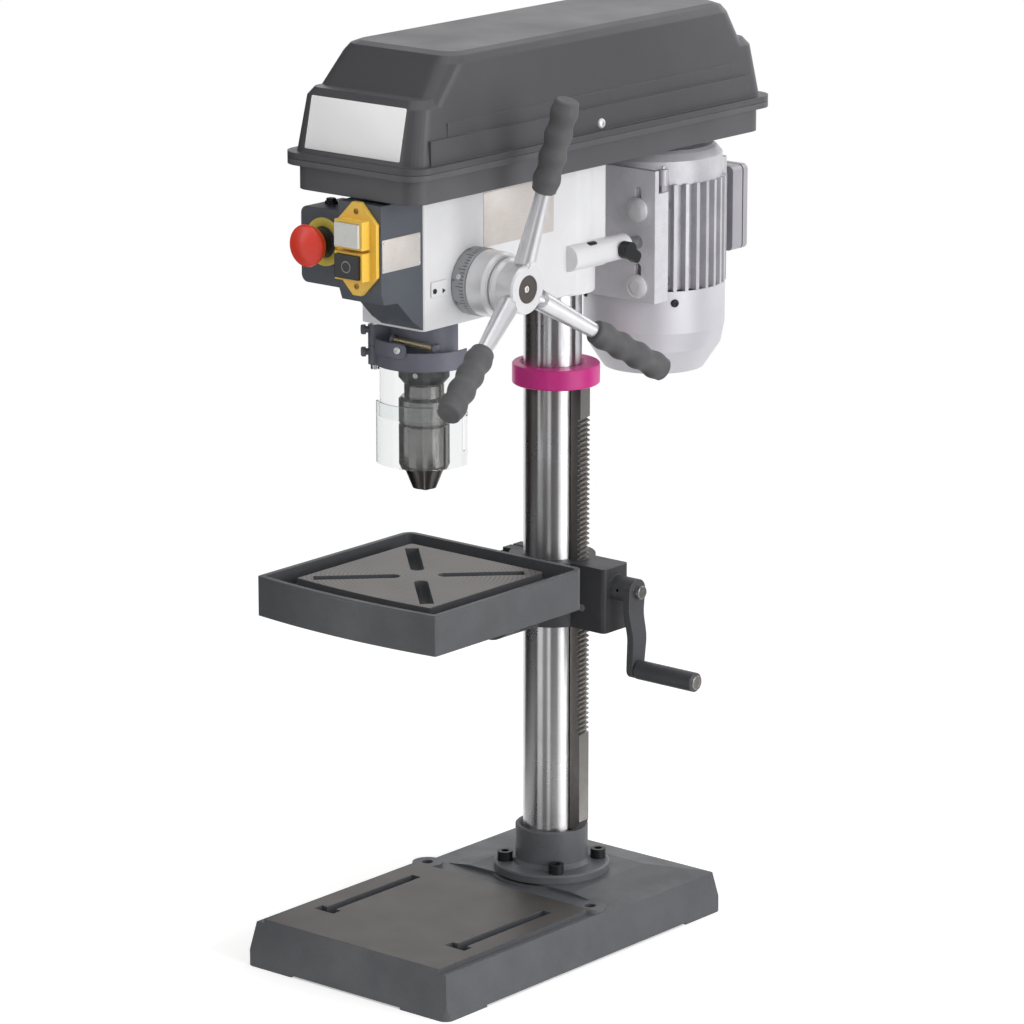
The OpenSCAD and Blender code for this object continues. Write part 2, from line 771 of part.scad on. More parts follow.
module head_casting() {
  half = head_w / 2;
  front = spindle_y - head_front;
  back = column_y + head_back;
  color(white_color) difference() {
    union() {
      intersection() {
        translate([0, 0, head_z]) linear_extrude(head_h)
          rounded_plan(-half, half, front, back, head_corner);
        along_x(-half, half)
          polygon([[front, head_z], [column_y, head_z], [column_y, head_z + head_step],
              [back, head_z + head_step], [back, head_top], [front, head_top]]);
      }
      translate([0, column_y, 0]) rod_z(head_boss_r, head_z - 2, head_top);
      translate([0, spindle_y, 0]) rod_z(boss_r, boss_z, head_z + cut);
      for (x = [-bar_spacing / 2, bar_spacing / 2])
        translate([x, column_y, bar_z]) rod_y(bar_boss_r, bar_front, bar_back);
    }
    translate([0, column_y, 0])
      rod_z(column_r + fit, head_z - 2 - cut, head_z + column_in_head + clear);
    translate([0, spindle_y, 0]) {
      rod_z(quill_d / 2 + fit, boss_z - cut, bearing_z - cut);
      rod_z(bearing_r + fit, bearing_z, head_top + cut);
      rod_z(sleeve_r + 2, bearing_z - 2 * cut, bearing_z + cut);
    }
    translate([0, feed_y, feed_z]) rod_x(shaft_r + fit, -half - cut, half + cut);
    for (x = [-bar_spacing / 2, bar_spacing / 2])
      translate([x, column_y, bar_z]) rod_y(bar_r + fit, bar_front + 6, bar_back + cut);
    translate([bar_spacing / 2, wing_y, bar_z]) rod_x(wing_r + fit, 0, 2 * bar_boss_r);
  }
}

// Bearings of the pulley sleeve in the top of the head
module head_bearings() {
  h = (head_top - bearing_z) / 2 - clear;
  color(steel_color) for (z = [bearing_z + fit, bearing_z + h + clear]) translate([0, spindle_y, z])
    difference() {
      rod_z(bearing_r, 0, h);
      rod_z(sleeve_r + fit, -cut, h + cut);
    }
}

// Quill with its rack, and the spindle inside it
collar_w = 18;
quill_nose = boss_z - collar_w - 1;
quill_bore = 12;
seat_bore = 15.5;
bearing_h = 14;
pinion_pitch = 4.712;
pinion_r = pinion_teeth * pinion_pitch / (2 * PI);
pinion_line = feed_offset - pinion_r;
gap_count = ceil((quill_stroke + 3 * pinion_pitch) / pinion_pitch) + 1;
gap_start = feed_z - 2 * pinion_pitch;
spindle_r = 9;

module quill() {
  m = pinion_pitch / PI;
  flat_y = pinion_line + addendum * m;
  color(steel_color) translate([0, spindle_y, 0]) difference() {
    rod_z(quill_d / 2, quill_nose, quill_top);
    rod_z(quill_bore, quill_nose - cut, quill_top + cut);
    for (z = [quill_nose - cut, quill_top - bearing_h])
      rod_z(seat_bore + fit, z, z + bearing_h + cut);
    block([-quill_d, flat_y, gap_start - pinion_pitch / 2],
       [quill_d, quill_d, gap_start + (gap_count - 0.5) * pinion_pitch]);
    for (k = [0 : gap_count - 1])
      translate([0, pinion_line, gap_start + k * pinion_pitch]) along_x(-quill_d / 2, quill_d / 2)
        rack_gap(pinion_pitch);
  }
}

module quill_bearings() {
  color(steel_color) translate([0, spindle_y, 0]) for (z = [quill_nose, quill_top - bearing_h + cut])
    difference() {
      rod_z(seat_bore, z + clear, z + bearing_h - cut);
      rod_z(spindle_r + fit, z, z + bearing_h);
    }
}

module quill_collar() {
  r = chuck_d / 2;
  bore = quill_d / 2 + fit;
  bevel = 4;
  color(dark_color) translate([0, spindle_y, quill_nose]) difference() {
    rotate_extrude()
      polygon([[bore, 0], [r - bevel, 0], [r, bevel + 1], [r, collar_w - 1], [r - 1, collar_w], [bore,
          collar_w]]);
    translate([0, 0, collar_w / 2 + 1]) rotate([0, 0, -70]) rod_x(3, bore - cut, r + cut);
  }
}

spline_root = 7.2;
spline_w = 4;
spline_count = 6;
pulley_z = head_top + hood_t + 6;
pulley_steps = 5;
pulley_top = pulley_z + pulley_steps * step_h;
chuck_top = quill_nose - 0.5;
taper_l = 24;
taper_r = 7.5;
nose_r = 11;
nose_l = 4;

module spline(gap) {
  circle(spline_root + gap);
  for (k = [0 : spline_count - 1])
    rotate(k * 360 / spline_count) translate([0, -spline_w / 2 - gap])
      square([spindle_r + gap, spline_w + 2 * gap]);
}

module spindle() {
  spline_z = quill_top + 2;
  color(steel_color) translate([0, spindle_y, 0]) {
    rod_z(spindle_r, chuck_top - nose_l, spline_z);
    translate([0, 0, chuck_top - nose_l - taper_l])
      cylinder(h = taper_l + cut, r1 = taper_r, r2 = spindle_r);
    translate([0, 0, spline_z - cut]) linear_extrude(pulley_top + 4 - spline_z) spline(0);
  }
}

// Keyless chuck: body, turning sleeve and three jaws that slide along slanted bores
chuck_r = chuck_d / 2;
neck_r = 20;
neck_h = 14;
ring_h = 27;
nose_h = 20;
ring_z = chuck_top - neck_h;
sleeve_top = ring_z - ring_h;
sleeve_z = sleeve_top - sleeve_h;
tip_z = sleeve_z - nose_h;
lip_h = 5;
core_r = chuck_r - 2.3;
jaw_r = 3.5;
jaw_slant = 18;
jaw_l = 32;
jaw_foot = 3;                     // distance of a jaw's axis from the spindle axis at the jaw's tip
jaw_out = 2;                      // how far the closed jaws stand out of the nose
jaw_travel = 21;

module at_jaw(k) {
  translate([0, spindle_y, tip_z - jaw_out]) rotate([0, 0, 90 + 120 * k]) translate([jaw_foot, 0, 0])
    rotate([0, jaw_slant, 0]) children();
}

module chuck_body() {
  color(steel_color) difference() {
    translate([0, spindle_y, 0]) difference() {
      rotate_extrude()
        polygon([[0, tip_z], [nose_r + 1, tip_z], [neck_r, sleeve_z], [neck_r, sleeve_z + lip_h + clear],
            [core_r, sleeve_z + lip_h + 4], [core_r, sleeve_top - clear], [chuck_r - 1, sleeve_top],
            [chuck_r, sleeve_top + 1], [chuck_r, ring_z - 3], [chuck_r - 3, ring_z],
            [neck_r, ring_z], [neck_r, chuck_top - 2], [neck_r - 2, chuck_top], [0, chuck_top]]);
      translate([0, 0, chuck_top - nose_l - taper_l])
        cylinder(h = taper_l, r1 = taper_r + fit, r2 = spindle_r + fit);
      rod_z(spindle_r + fit, chuck_top - nose_l - fit, chuck_top + cut);
    }
    for (k = [0 : 2])
      at_jaw(k) rod_z(jaw_r + fit, -jaw_l, jaw_l + jaw_travel + 2);
  }
}

module chuck_sleeve() {
  inner = core_r + fit;
  color(steel_color) translate([0, spindle_y, 0]) rotate_extrude()
    polygon([[neck_r + fit, sleeve_z + clear], [chuck_r - 2, sleeve_z + clear], [chuck_r,
        sleeve_z + lip_h],
        [chuck_r, sleeve_top - clear - 2], [chuck_r - 1, sleeve_top - clear - 1],
        [inner, sleeve_top - clear - 1], [inner, sleeve_z + lip_h + 4], [neck_r + fit,
            sleeve_z + lip_h]]);
}

module chuck_jaw(k) {
  gap = 0.12;
  color(steel_color) intersection() {
    at_jaw(k) rod_z(jaw_r, -jaw_r, jaw_l);
    translate([0, spindle_y, tip_z - jaw_out]) rotate([0, 0, 90 + 120 * k]) translate([2 * gap, 0, 0])
      linear_extrude(2 * jaw_l)
        polygon([[0, 0], [chuck_r * cos(60), -chuck_r * sin(60)], [2 * chuck_r, 0],
            [chuck_r * cos(60), chuck_r * sin(60)]]);
  }
}

// Feed handle on the right and return spring on the left
feed_half = head_w / 2 + clear;
feed_sleeve_r = depth_ring_d / 2 - 1;
feed_sleeve_w = 24;
ring_x = feed_half;
sleeve_x = ring_x + depth_ring_w + clear;
hub_x = sleeve_x + feed_sleeve_w;
hub_r = 25;
hub_neck = 4;
hub_l = 29;
hub_end = hub_x + hub_l;
arm_hub_x = hub_x + hub_neck + (hub_l - hub_neck) / 2;
arm_phase = 87.5;
arm_r0 = 11;
arm_r1 = 7.5;
spring_cup_r = 33;
spring_cup_w = 24;
spring_cup_t = 3;
shaft_end_r = 8;
key_r = 10;

// Half length of the pinion: past it the journals are clear of the quill
pinion_half = sqrt(pow(quill_d / 2, 2) - pow(feed_offset - shaft_r, 2)) + 2 * clear;

module feed_shaft() {
  near = gap_start + pinion_pitch * round((feed_z - gap_start) / pinion_pitch);
  phase = (near - feed_z) / pinion_r * 180 / PI;
  color(steel_color) translate([0, feed_y, feed_z]) {
    rod_x(shaft_r, pinion_half, feed_half);
    rod_x(key_r, feed_half - cut, hub_end - 8);
    rod_x(shaft_r, -feed_half + clear, -pinion_half);
    rod_x(shaft_end_r, -feed_half - spring_cup_w + spring_cup_t + clear, -feed_half + 2 * clear);
    along_x(-pinion_half - cut, pinion_half + cut) rotate(180 - phase)
      gear_outline(pinion_teeth, pinion_pitch);
  }
}

module depth_ring() {
  r = depth_ring_d / 2;
  marks = 60;
  color("#8c8d92") translate([ring_x, feed_y, feed_z]) rotate([0, 90, 0]) difference() {
    rotate_extrude()
      polygon([[key_r + fit, 0], [r - 1, 0], [r, 1], [r, depth_ring_w - 2], [r - 2, depth_ring_w],
          [key_r + fit, depth_ring_w]]);
    for (k = [0 : marks - 1])
      rotate([0, 0, k * 360 / marks])
        block([r - 0.4, -0.3, k % 5 == 0 ? depth_ring_w * 0.35 : depth_ring_w * 0.6],
           [r + cut, 0.3, depth_ring_w]);
  }
}

module feed_hub() {
  r = feed_sleeve_r;
  neck = hub_r - 1;
  color(steel_color) translate([0, feed_y, feed_z]) difference() {
    union() {
      translate([sleeve_x, 0, 0]) rotate([0, 90, 0]) rotate_extrude()
        polygon([[0, 0], [r - 1, 0], [r, 1], [r, feed_sleeve_w - 4], [r - 3, feed_sleeve_w - 1],
            [r - 3, feed_sleeve_w], [neck - 3, feed_sleeve_w], [neck - 3, feed_sleeve_w + hub_neck / 2],
            [hub_r + 3, feed_sleeve_w + hub_neck / 2], [hub_r + 3, feed_sleeve_w + hub_neck + 1],
            [hub_r, feed_sleeve_w + hub_neck + 4], [hub_r, feed_sleeve_w + hub_l - 2],
            [hub_r - 2, feed_sleeve_w + hub_l], [0, feed_sleeve_w + hub_l]]);
    }
    rod_x(key_r + fit, sleeve_x - cut, hub_end - 8 + clear);
    rod_x(cap_r + fit, hub_end - cap_t, hub_end + cut);
    feed_arm_pattern() rod_z(arm_tenon_r + fit, arm_tenon_in, 2 * hub_r);
  }
}

cap_r = 14;
cap_t = 4;
arm_tenon_r = 6;
arm_tenon_in = 18.5;
arm_root = hub_r + 1.5;
arm_len = arm_reach / cos(arm_lean) - 2;
grip_start = arm_len - feed_grip_l;

module feed_arm_pattern() {
  for (k = [0 : 2])
    translate([arm_hub_x, 0, 0]) rotate([arm_phase - 90 + 120 * k, 0, 0]) rotate([0, arm_lean, 0])
      children();
}

module feed_arms() {
  color(steel_color) translate([0, feed_y, feed_z]) feed_arm_pattern() {
    difference() {
      translate([0, 0, hub_r - 7])
        cylinder(h = grip_start + 7 - hub_r - clear, r1 = arm_r0, r2 = arm_r1);
      arm_seat();
    }
    rod_z(arm_tenon_r, arm_tenon_in + clear, hub_r + 10);
    rod_z(arm_tenon_r - 1, grip_start - cut, arm_len - 12);
  }
}

// The round hub that an arm's foot is cut to, seen from the arm
module arm_seat() {
  rotate([0, -arm_lean, 0]) rod_x(hub_r + 3 + fit, -2 * hub_l, 2 * hub_l);
}

// Rubber grip with four swellings
module feed_grips() {
  r = feed_grip_d / 2;
  swells = 4;
  steps = 8;
  waist = 2;
  bore = arm_tenon_r - 1 + fit;
  side = [for (k = [0 : swells * steps]) let (t = k / (swells * steps))
      [r - waist * (1 + cos(360 * swells * t)) / 2, 1.5 + (feed_grip_l - 3) * t]];
  color("#4a4b4e") translate([0, feed_y, feed_z]) feed_arm_pattern() translate([0, 0, grip_start])
    rotate_extrude() polygon(concat([[bore, 0], [r - waist - 1.5, 0]], side,
           [[r - waist - 1.5, feed_grip_l], [0, feed_grip_l], [0, feed_grip_l - 11], [bore,
               feed_grip_l - 11]]));
}

module hub_cap() {
  color(dark_color) translate([0, feed_y, feed_z]) difference() {
    rod_x(cap_r, hub_end - cap_t + clear, hub_end - 0.8);
    translate([hub_end - cap_t + 1, 0, 0]) rotate([0, 90, 0]) cylinder(h = cap_t, r = 4.5, $fn = 6);
  }
}

module spring_housing() {
  color(white_color) translate([-head_w / 2, feed_y, feed_z]) rotate([0, -90, 0]) difference() {
    rotate_extrude()
      polygon([[0, 0], [spring_cup_r, 0], [spring_cup_r, spring_cup_w - 3], [spring_cup_r - 3,
          spring_cup_w],
          [0, spring_cup_w]]);
    rod_z(spring_cup_r - spring_cup_t, spring_cup_t, spring_cup_w - spring_cup_t);
    rod_z(shaft_r + clear, -cut, spring_cup_w / 2);
  }
}

// Flat spiral return spring, wound from the shaft out to the cup
module return_spring() {
  turns = 6;
  steps = 24;
  strip = 0.8;
  r0 = shaft_end_r + 1;
  r1 = spring_cup_r - spring_cup_t - strip - fit;
  count = turns * steps;
  inner = [for (k = [0 : count]) (r0 + (r1 - r0) * k / count) * [cos(k * 360 / steps),
      sin(k * 360 / steps)]];
  outer = [for (k = [count : -1 : 0]) (r0 + strip + (r1 - r0) * k / count) * [cos(k * 360 / steps),
      sin(k * 360 / steps)]];
  color(steel_color) translate([-head_w / 2, feed_y, feed_z]) rotate([0, -90, 0])
    translate([0, 0, spring_cup_t + clear]) linear_extrude(spring_cup_w - 2 * spring_cup_t - 2 * clear)
      polygon(concat(inner, outer));
}

// Switch box, emergency stop and buttons on the front of the head
box_x1 = head_w / 2;
box_x0 = box_x1 - box_w;
box_back = spindle_y - head_front - fit;
box_front = box_back - box_l;
box_top = head_top - 3;
box_wall = 3;
estop_x = box_x0 - 27;
estop_z = head_z + 88;
estop_front = box_back - 53;
estop_z0 = head_z + 45;
estop_z1 = head_z + 121;
stem_r = 8;
mushroom_gap = 14;
mushroom_l = 20;
estop_travel = 6;
plate_mid_x = (box_x0 + box_x1) / 2;
plate_mid_z = head_z + 90;
plate_t = 5;
plate_w = box_w - 4;
plate_h = 92;
bezel_d = 12;
bezel_t = 2.5;
start_z = plate_mid_z + 15.5;
stop_z = plate_mid_z - 15.5;
button_proud = 3.5;

module switch_box() {
  outline = [[box_back, head_z + 2], [box_back - 14.5, head_z + 12], [box_back - 37.5, head_z + 35],
       [box_front + 4, head_z + 36], [box_front, head_z + 47], [box_front, box_top], [box_back, box_top]];
  color(box_color) difference() {
    along_x(box_x0, box_x1) polygon(outline);
    for (z = [start_z, stop_z])
      block([plate_mid_x - button_w / 2 + 2, box_front - cut, z - button_h / 2 + 2],
         [plate_mid_x + button_w / 2 - 2, box_front + 14, z + button_h / 2 - 2]);
  }
}

module estop_box() {
  corner = 8;
  color(box_color) difference() {
    along_y(estop_front, box_back)
      rounded_plan(box_x0 - estop_box_w, box_x0 - fit, estop_z0, estop_z1, corner);
    translate([estop_x, 0, estop_z]) rod_y(stem_r + fit, estop_front - cut, estop_front + 26);
  }
}

module plate_outline(w, h, chamfer_w, chamfer_h) {
  polygon([[-w / 2, -h / 2 + chamfer_h], [-w / 2 + chamfer_w, -h / 2], [w / 2 - chamfer_w, -h / 2],
      [w / 2, -h / 2 + chamfer_h],
      [w / 2, h / 2 - chamfer_h], [w / 2 - chamfer_w, h / 2], [-w / 2 + chamfer_w, h / 2], [-w / 2,
          h / 2 - chamfer_h]]);
}

module switch_plate() {
  face = box_front - fit;
  color(yellow_color) difference() {
    union() {
      along_y(face - plate_t, face) translate([plate_mid_x, plate_mid_z])
        plate_outline(plate_w, plate_h, 20, 20);
      for (z = [start_z, stop_z])
        block([plate_mid_x - button_w / 2 - bezel_t, face - plate_t - bezel_d,
            z - button_h / 2 - bezel_t],
           [plate_mid_x + button_w / 2 + bezel_t, face - cut, z + button_h / 2 + bezel_t]);
    }
    for (z = [start_z, stop_z])
      block([plate_mid_x - button_w / 2 - clear, face - plate_t - bezel_d - cut,
          z - button_h / 2 - clear],
         [plate_mid_x + button_w / 2 + clear, face + cut, z + button_h / 2 + clear]);
  }
}

// Push button with a stem that slides in the switch box
module push_button(z) {
  front = box_front - plate_t - bezel_d - button_proud;
  skirt = bezel_d + plate_t - button_travel - 1 + button_proud;
  block([plate_mid_x - button_w / 2, front, z - button_h / 2], [plate_mid_x + button_w / 2,
      front + skirt, z + button_h / 2]);
  block([plate_mid_x - button_w / 2 + 2 + clear, front + cut, z - button_h / 2 + 2 + clear],
     [plate_mid_x + button_w / 2 - 2 - clear, box_front + 14 - button_travel - 1,
         z + button_h / 2 - 2 - clear]);
}

module start_button() {
  color("#e9e9e6") push_button(start_z);
}

module stop_button() {
  color("#1d1d1f") push_button(stop_z);
}

// Black neck of the emergency stop with its stem, and the red mushroom that twists on it
module estop_stem() {
  color(dark_color) translate([estop_x, 0, estop_z]) {
    rod_y(stem_r, estop_front - mushroom_gap - 8, estop_front + 26 - estop_travel - 1);
    rod_y(15, estop_front - mushroom_gap, estop_front - estop_travel - clear);
  }
}

module estop_button() {
  r = mushroom_d / 2;
  dome = 5;
  back = estop_front - mushroom_gap - clear;
  color("#d83a2a") translate([estop_x, back, estop_z]) rotate([90, 0, 0]) difference() {
    rotate_extrude() polygon(concat([[0, 0], [r - 6, 0], [r - 3, 3], [r, mushroom_l - 9]],
      [for (k = [0 : 8]) [r - 4 + 4 * cos(k * 90 / 8), mushroom_l - 9 + 4 * sin(k * 90 / 8)]],
      [for (k = [1 : 8]) [(r - 4) * (1 - k / 8), mushroom_l - 5 + dome * sin(k * 90 / 8)]]));
    rod_z(stem_r + fit, -cut, 8);
  }
}

// Chuck guard: clamp ring, hinge pin, swinging band and two clear shields
ring_r = boss_r + 6;
ring_top = head_z - 2;
ring_z0 = boss_z + 4;
hinge_a = 228;
hinge_r = shield_r;
guard_pin_r = 2.5;
knuckle_r = 7;
band_z0 = boss_z;
band_h = 19;
lug_bottom = band_z0 + band_h + clear;
band_r = shield_r - 2;
shield_a0 = hinge_a + 12;
shield_a1 = 372;
upper_r = shield_r - shield_t - clear;
upper_z0 = boss_z + 12 - shield_h;
lower_z0 = upper_z0 - 48;
lower_a0 = hinge_a + 4;
slot_a = 366;
slide_travel = band_z0 - lower_z0 - shield_h - 1;
stud_z = upper_z0 + 5;

module at_hinge() {
  translate([0, spindle_y, 0]) rotate([0, 0, hinge_a]) translate([hinge_r, 0, 0]) children();
}

module guard_ring() {
  color(dark_color) difference() {
    union() {
      translate([0, spindle_y, 0]) rod_z(ring_r, ring_z0, ring_top);
      at_hinge() {
        rod_z(knuckle_r, lug_bottom, ring_top - 2);
        block([ring_r - hinge_r - 3, -knuckle_r, lug_bottom], [0, knuckle_r, ring_top - 2]);
      }
      spring_peg(spring_a, spring_axis);
      spring_peg(spring_b, -spring_axis);
    }
    translate([0, spindle_y, 0]) rod_z(boss_r + fit, ring_z0 - cut, ring_top + cut);
    at_hinge() rod_z(guard_pin_r + fit, lug_bottom - cut, ring_top);
  }
}

module guard_pin() {
  color(steel_color) at_hinge() union() {
    rod_z(guard_pin_r, band_z0 - 3, ring_top + 1 - 3);
    rod_z(guard_pin_r + 2, band_z0 - 5, band_z0 - clear);
  }
}

module guard_band() {
  color(dark_color) difference() {
    union() {
      translate([0, spindle_y, band_z0]) arc_wall(band_r, shield_r, shield_a0 - 5, shield_a1, band_h);
      at_hinge() rod_z(knuckle_r, band_z0, band_z0 + band_h);
    }
    translate([0, spindle_y, 0]) rod_z(band_r, band_z0 - cut, band_z0 + band_h + cut);
    at_hinge() rod_z(guard_pin_r + fit, band_z0 - cut, band_z0 + band_h + cut);
  }
}

module shield_upper() {
  color(clear_color) translate([0, spindle_y, 0]) union() {
    translate([0, 0, upper_z0]) arc_wall(upper_r - shield_t, upper_r, shield_a0, shield_a1, shield_h);
    rotate([0, 0, slot_a]) translate([0, 0, stud_z]) rod_x(2.2, upper_r - shield_t, shield_r + 3);
  }
}

module shield_lower() {
  color(clear_color) translate([0, spindle_y, 0]) difference() {
    translate([0, 0, lower_z0]) arc_wall(shield_r - shield_t, shield_r, lower_a0, shield_a1, shield_h);
    rotate([0, 0, slot_a])
      block([shield_r - 3 * shield_t, -2.5, stud_z - 3 - slide_travel], [shield_r + cut, 2.5,
          stud_z + 3]);
  }
}

// Tension spring of the guard, between two pegs on the clamp ring
hook_a = 268;
hook_r = shield_r - 5.5;
hook_z = ring_top - 12;
anchor_a = 322;
anchor_z = band_z0 + band_h + spring_r + 1.5;
peg_t = 3;
function polar(r, a, z) = [r * cos(a), r * sin(a) + spindle_y, z];
spring_a = polar(hook_r, hook_a, hook_z);
spring_b = polar(hook_r, anchor_a, anchor_z);
curl_rings = 8;
wire_sides = 6;

function unit(v) = v / norm(v);
spring_axis = unit(spring_b - spring_a);
spring_side = unit(cross(spring_axis, [0, 0, 1]));
spring_up = cross(spring_side, spring_axis);
spring_l = norm(spring_b - spring_a);
spring_n = spring_curls * curl_rings;

function coil(k) =
  let (a = 360 * k / curl_rings)
  spring_a + spring_axis * (spring_l * k / spring_n)
    + spring_r * (spring_side * cos(a) + spring_up * sin(a));

module swept_tube(path, r) {
  n = len(path);
  s = wire_sides;
  rings = [for (k = [0 : n - 1])
    let (d = unit(path[min(k + 1, n - 1)] - path[max(k - 1, 0)]))
    let (out = unit(cross(d, spring_axis)), in = cross(d, out))
    for (j = [0 : s - 1]) path[k] + r * (out * cos(360 * j / s) + in * sin(360 * j / s))];
  sides = [for (k = [0 : n - 2], j = [0 : s - 1])
    let (a = k * s + j, b = k * s + (j + 1) % s)
    each [[a, b, b + s], [a, b + s, a + s]]];
  caps = [for (j = [1 : s - 2]) each [[0, j + 1, j], [(n - 1) * s, (n - 1) * s + j,
      (n - 1) * s + j + 1]]];
  polyhedron(points = rings, faces = concat(sides, caps));
}

// Disc that an end of the spring bears on, with a strap back to the ring; d points along the spring
module spring_peg(p, d) {
  back = p - d * (wire_r + fit + peg_t);
  inward = d * spring_axis > 0 ? [0, 13] : [-13, 0];
  translate(back) rotate([0, acos(d[2]), atan2(d[1], d[0])]) cylinder(h = peg_t, r = spring_r + 1);
  translate(back) rotate([0, 0, atan2(d[1], d[0])])
    block([-0.6, inward[0], -2.5], [peg_t - 1.2, inward[1], 2.5]);
}

module guard_spring() {
  curls = [for (k = [0 : spring_n]) coil(k)];
  tail = 2 * wire_r;
  path = concat([curls[0] - tail * unit(curls[1] - curls[0])], curls,
      [curls[spring_n] + tail * unit(curls[spring_n] - curls[spring_n - 1])]);
  least = min([for (k = [0 : spring_n - curl_rings], j = [curl_rings - 2 : curl_rings + 2])
      if (k + j <= spring_n) norm(curls[k] - curls[k + j])]);
  echo(guard_spring_least_gap = least - 2 * wire_r);
  color(steel_color) swept_tube(path, wire_r);
}

// Belt tray, hood and drive
hood_half = hood_w / 2;
hood_y0 = spindle_y - hood_front;
hood_y1 = motor_y + hood_back;
tray_inset = 10;
rim_h = 6;
tray_top = head_top + tray_h;
hood_z = tray_top + clear;
hood_top = tray_top + hood_h;
tray_corner = 24;
hinge_pin_r = 2.5;
hinge_out = 5.5;
hinge_x = -hood_half - hinge_out;
hinge_z = tray_top;
hinge_y = [hood_y0 + 130, hood_y1 - 130];
knuckle_l = 30;
slide_travel_y = 15;

module tray_shell(inset, z0, z1) {
  translate([0, 0, z0]) linear_extrude(z1 - z0)
    rounded_plan(-hood_half + inset, hood_half - inset, hood_y0 + inset, hood_y1 - inset,
        tray_corner - inset / 2);
}

module belt_tray() {
  lug_l = 12;
  color(hood_color) difference() {
    union() {
      tray_shell(tray_inset, head_top, tray_top);
      tray_shell(0, tray_top - rim_h, tray_top);
      for (y = hinge_y, side = [-1, 1])
        translate([0, y + side * (knuckle_l + lug_l) / 2, 0]) {
          translate([hinge_x, 0, hinge_z]) rod_y(hinge_out - 0.5, -lug_l / 2 + clear, lug_l / 2);
          block([hinge_x, -lug_l / 2 + clear, hinge_z - hinge_out], [-hood_half + cut, lug_l / 2,
              hinge_z - clear]);
        }
    }
    tray_shell(tray_inset + hood_t, head_top + hood_t, tray_top + 2 * hinge_out);
    translate([0, spindle_y, 0]) rod_z(sleeve_r + 8, head_top - cut, head_top + hood_t + cut);
    translate([0, 0, head_top - cut]) linear_extrude(hood_t + 2 * cut)
      rounded_plan(-tray_slot_r, tray_slot_r, motor_y - tray_slot_r - slide_travel_y,
          motor_y + tray_slot_r, tray_slot_r - 1);
    for (y = hinge_y)
      translate([hinge_x, y, hinge_z]) rod_y(hinge_pin_r + fit, -knuckle_l, knuckle_l);
  }
}

tray_slot_r = 20;

// One level of the hood: a thin rounded slab that the hulls stretch between
module hood_level(z, inset_x, inset_front, inset_back, r) {
  translate([0, 0, z]) linear_extrude(0.01)
    rounded_plan(-hood_half + inset_x, hood_half - inset_x, hood_y0 + inset_front,
        hood_y1 - inset_back, r, $fn = hull_fn);
}

// Lower tier with its end faces and the raised back of the hood, both drawn in by t for the inside
module hood_form(t) {
  low = hood_z + rim_h;
  shelf = hood_top - 40;
  hull() {
    hood_level(low - (t > 0 ? rim_h + cut : 0), 8 + t, 8 + t, 8 + t, 20);
    hood_level(shelf - 8 - t, 12 + t, 20 + t, 21 + t, 18);
    hood_level(shelf - t, 18 + t, 27 + t, 28 + t, 14);
  }
  hull() {
    hood_level(shelf - 30, 10.5 + t, 30 + t, 32 + t, 18);
    hood_level(shelf - 6, 12 + t, 36 + t, 36 + t, 18);
    hood_level(hood_top - 10 - t, 15 + t, 68 + t, 54 + t, 22);
    hood_level(hood_top - 3 - t, 19 + t, 75 + t, 60 + t, 20);
    hood_level(hood_top - t, 26 + t, 84 + t, 68 + t, 16);
  }
}

module belt_hood() {
  low = hood_z + rim_h;
  panels = [[9.4, 58, 63, 38], [6.4, 30, 40, 24]];
  color(hood_color) difference() {
    union() {
      tray_shell(0, hood_z, low);
      hood_form(0);
      for (p = panels)
        block([-hood_half + p[0], hood_y0 + p[1], hood_z + 1], [hood_half - p[0], hood_y1 - p[2],
            low + p[3]]);
      for (y = hinge_y)
        translate([0, y, 0]) {
          translate([hinge_x, 0, hinge_z]) {
            rod_y(hinge_out - 0.5, -knuckle_l / 2, knuckle_l / 2);
            rod_y(hinge_pin_r, -knuckle_l / 2 - 10, knuckle_l / 2 + 10);
          }
          block([hinge_x, -knuckle_l / 2, hinge_z + clear], [-hood_half + cut, knuckle_l / 2,
              hinge_z + hinge_out]);
        }
    }
    hood_form(hood_t);
  }
}

// Stepped pulley outline: a groove for the belt on each step, in the order that radii gives
belt_w = 10;
belt_d = 7;
groove_lip = 2.5;
function groove(r, z) = [[r, z], [r, z + groove_lip], [r - belt_d - 1, z + groove_lip + 2.6],
            [r - belt_d - 1, z + step_h - groove_lip - 2.6], [r, z + step_h - groove_lip], [r,
                z + step_h]];
module stepped_pulley(radii, bore_r) {
  last = len(radii) - 1;
  rotate_extrude()
    polygon(concat([[bore_r, 0]], [for (k = [0 : last]) each groove(radii[k], k * step_h)], [[bore_r,
        (last + 1) * step_h]]));
}

pulley_radii = [for (k = [0 : pulley_steps - 1]) pulley_r - k * pulley_drop];
motor_radii = [for (k = [pulley_steps - 1 : -1 : 0]) pulley_radii[k]];

module spindle_pulley() {
  color("#a9abb0") translate([0, spindle_y, 0]) difference() {
    union() {
      translate([0, 0, pulley_z]) stepped_pulley(pulley_radii, 0);
      rod_z(sleeve_r, bearing_z + clear, pulley_z + cut);
      rod_z(sleeve_r + 4, head_top + clear, pulley_z + cut);
    }
    translate([0, 0, bearing_z]) linear_extrude(pulley_top - bearing_z + cut) spline(fit);
  }
}

module motor_pulley() {
  color("#a9abb0") translate([0, motor_y, pulley_z]) stepped_pulley(motor_radii, rotor_r + fit);
}

// V-belt on the lowest step: two arcs and two straight runs
belt_gap = 0.2;
belt_z = pulley_z + step_h / 2;
belt_r1 = pulley_radii[0] - belt_d;
belt_r2 = motor_radii[0] - belt_d;
belt_span = throat + motor_offset;
belt_tilt = asin((belt_r1 - belt_r2) / belt_span);

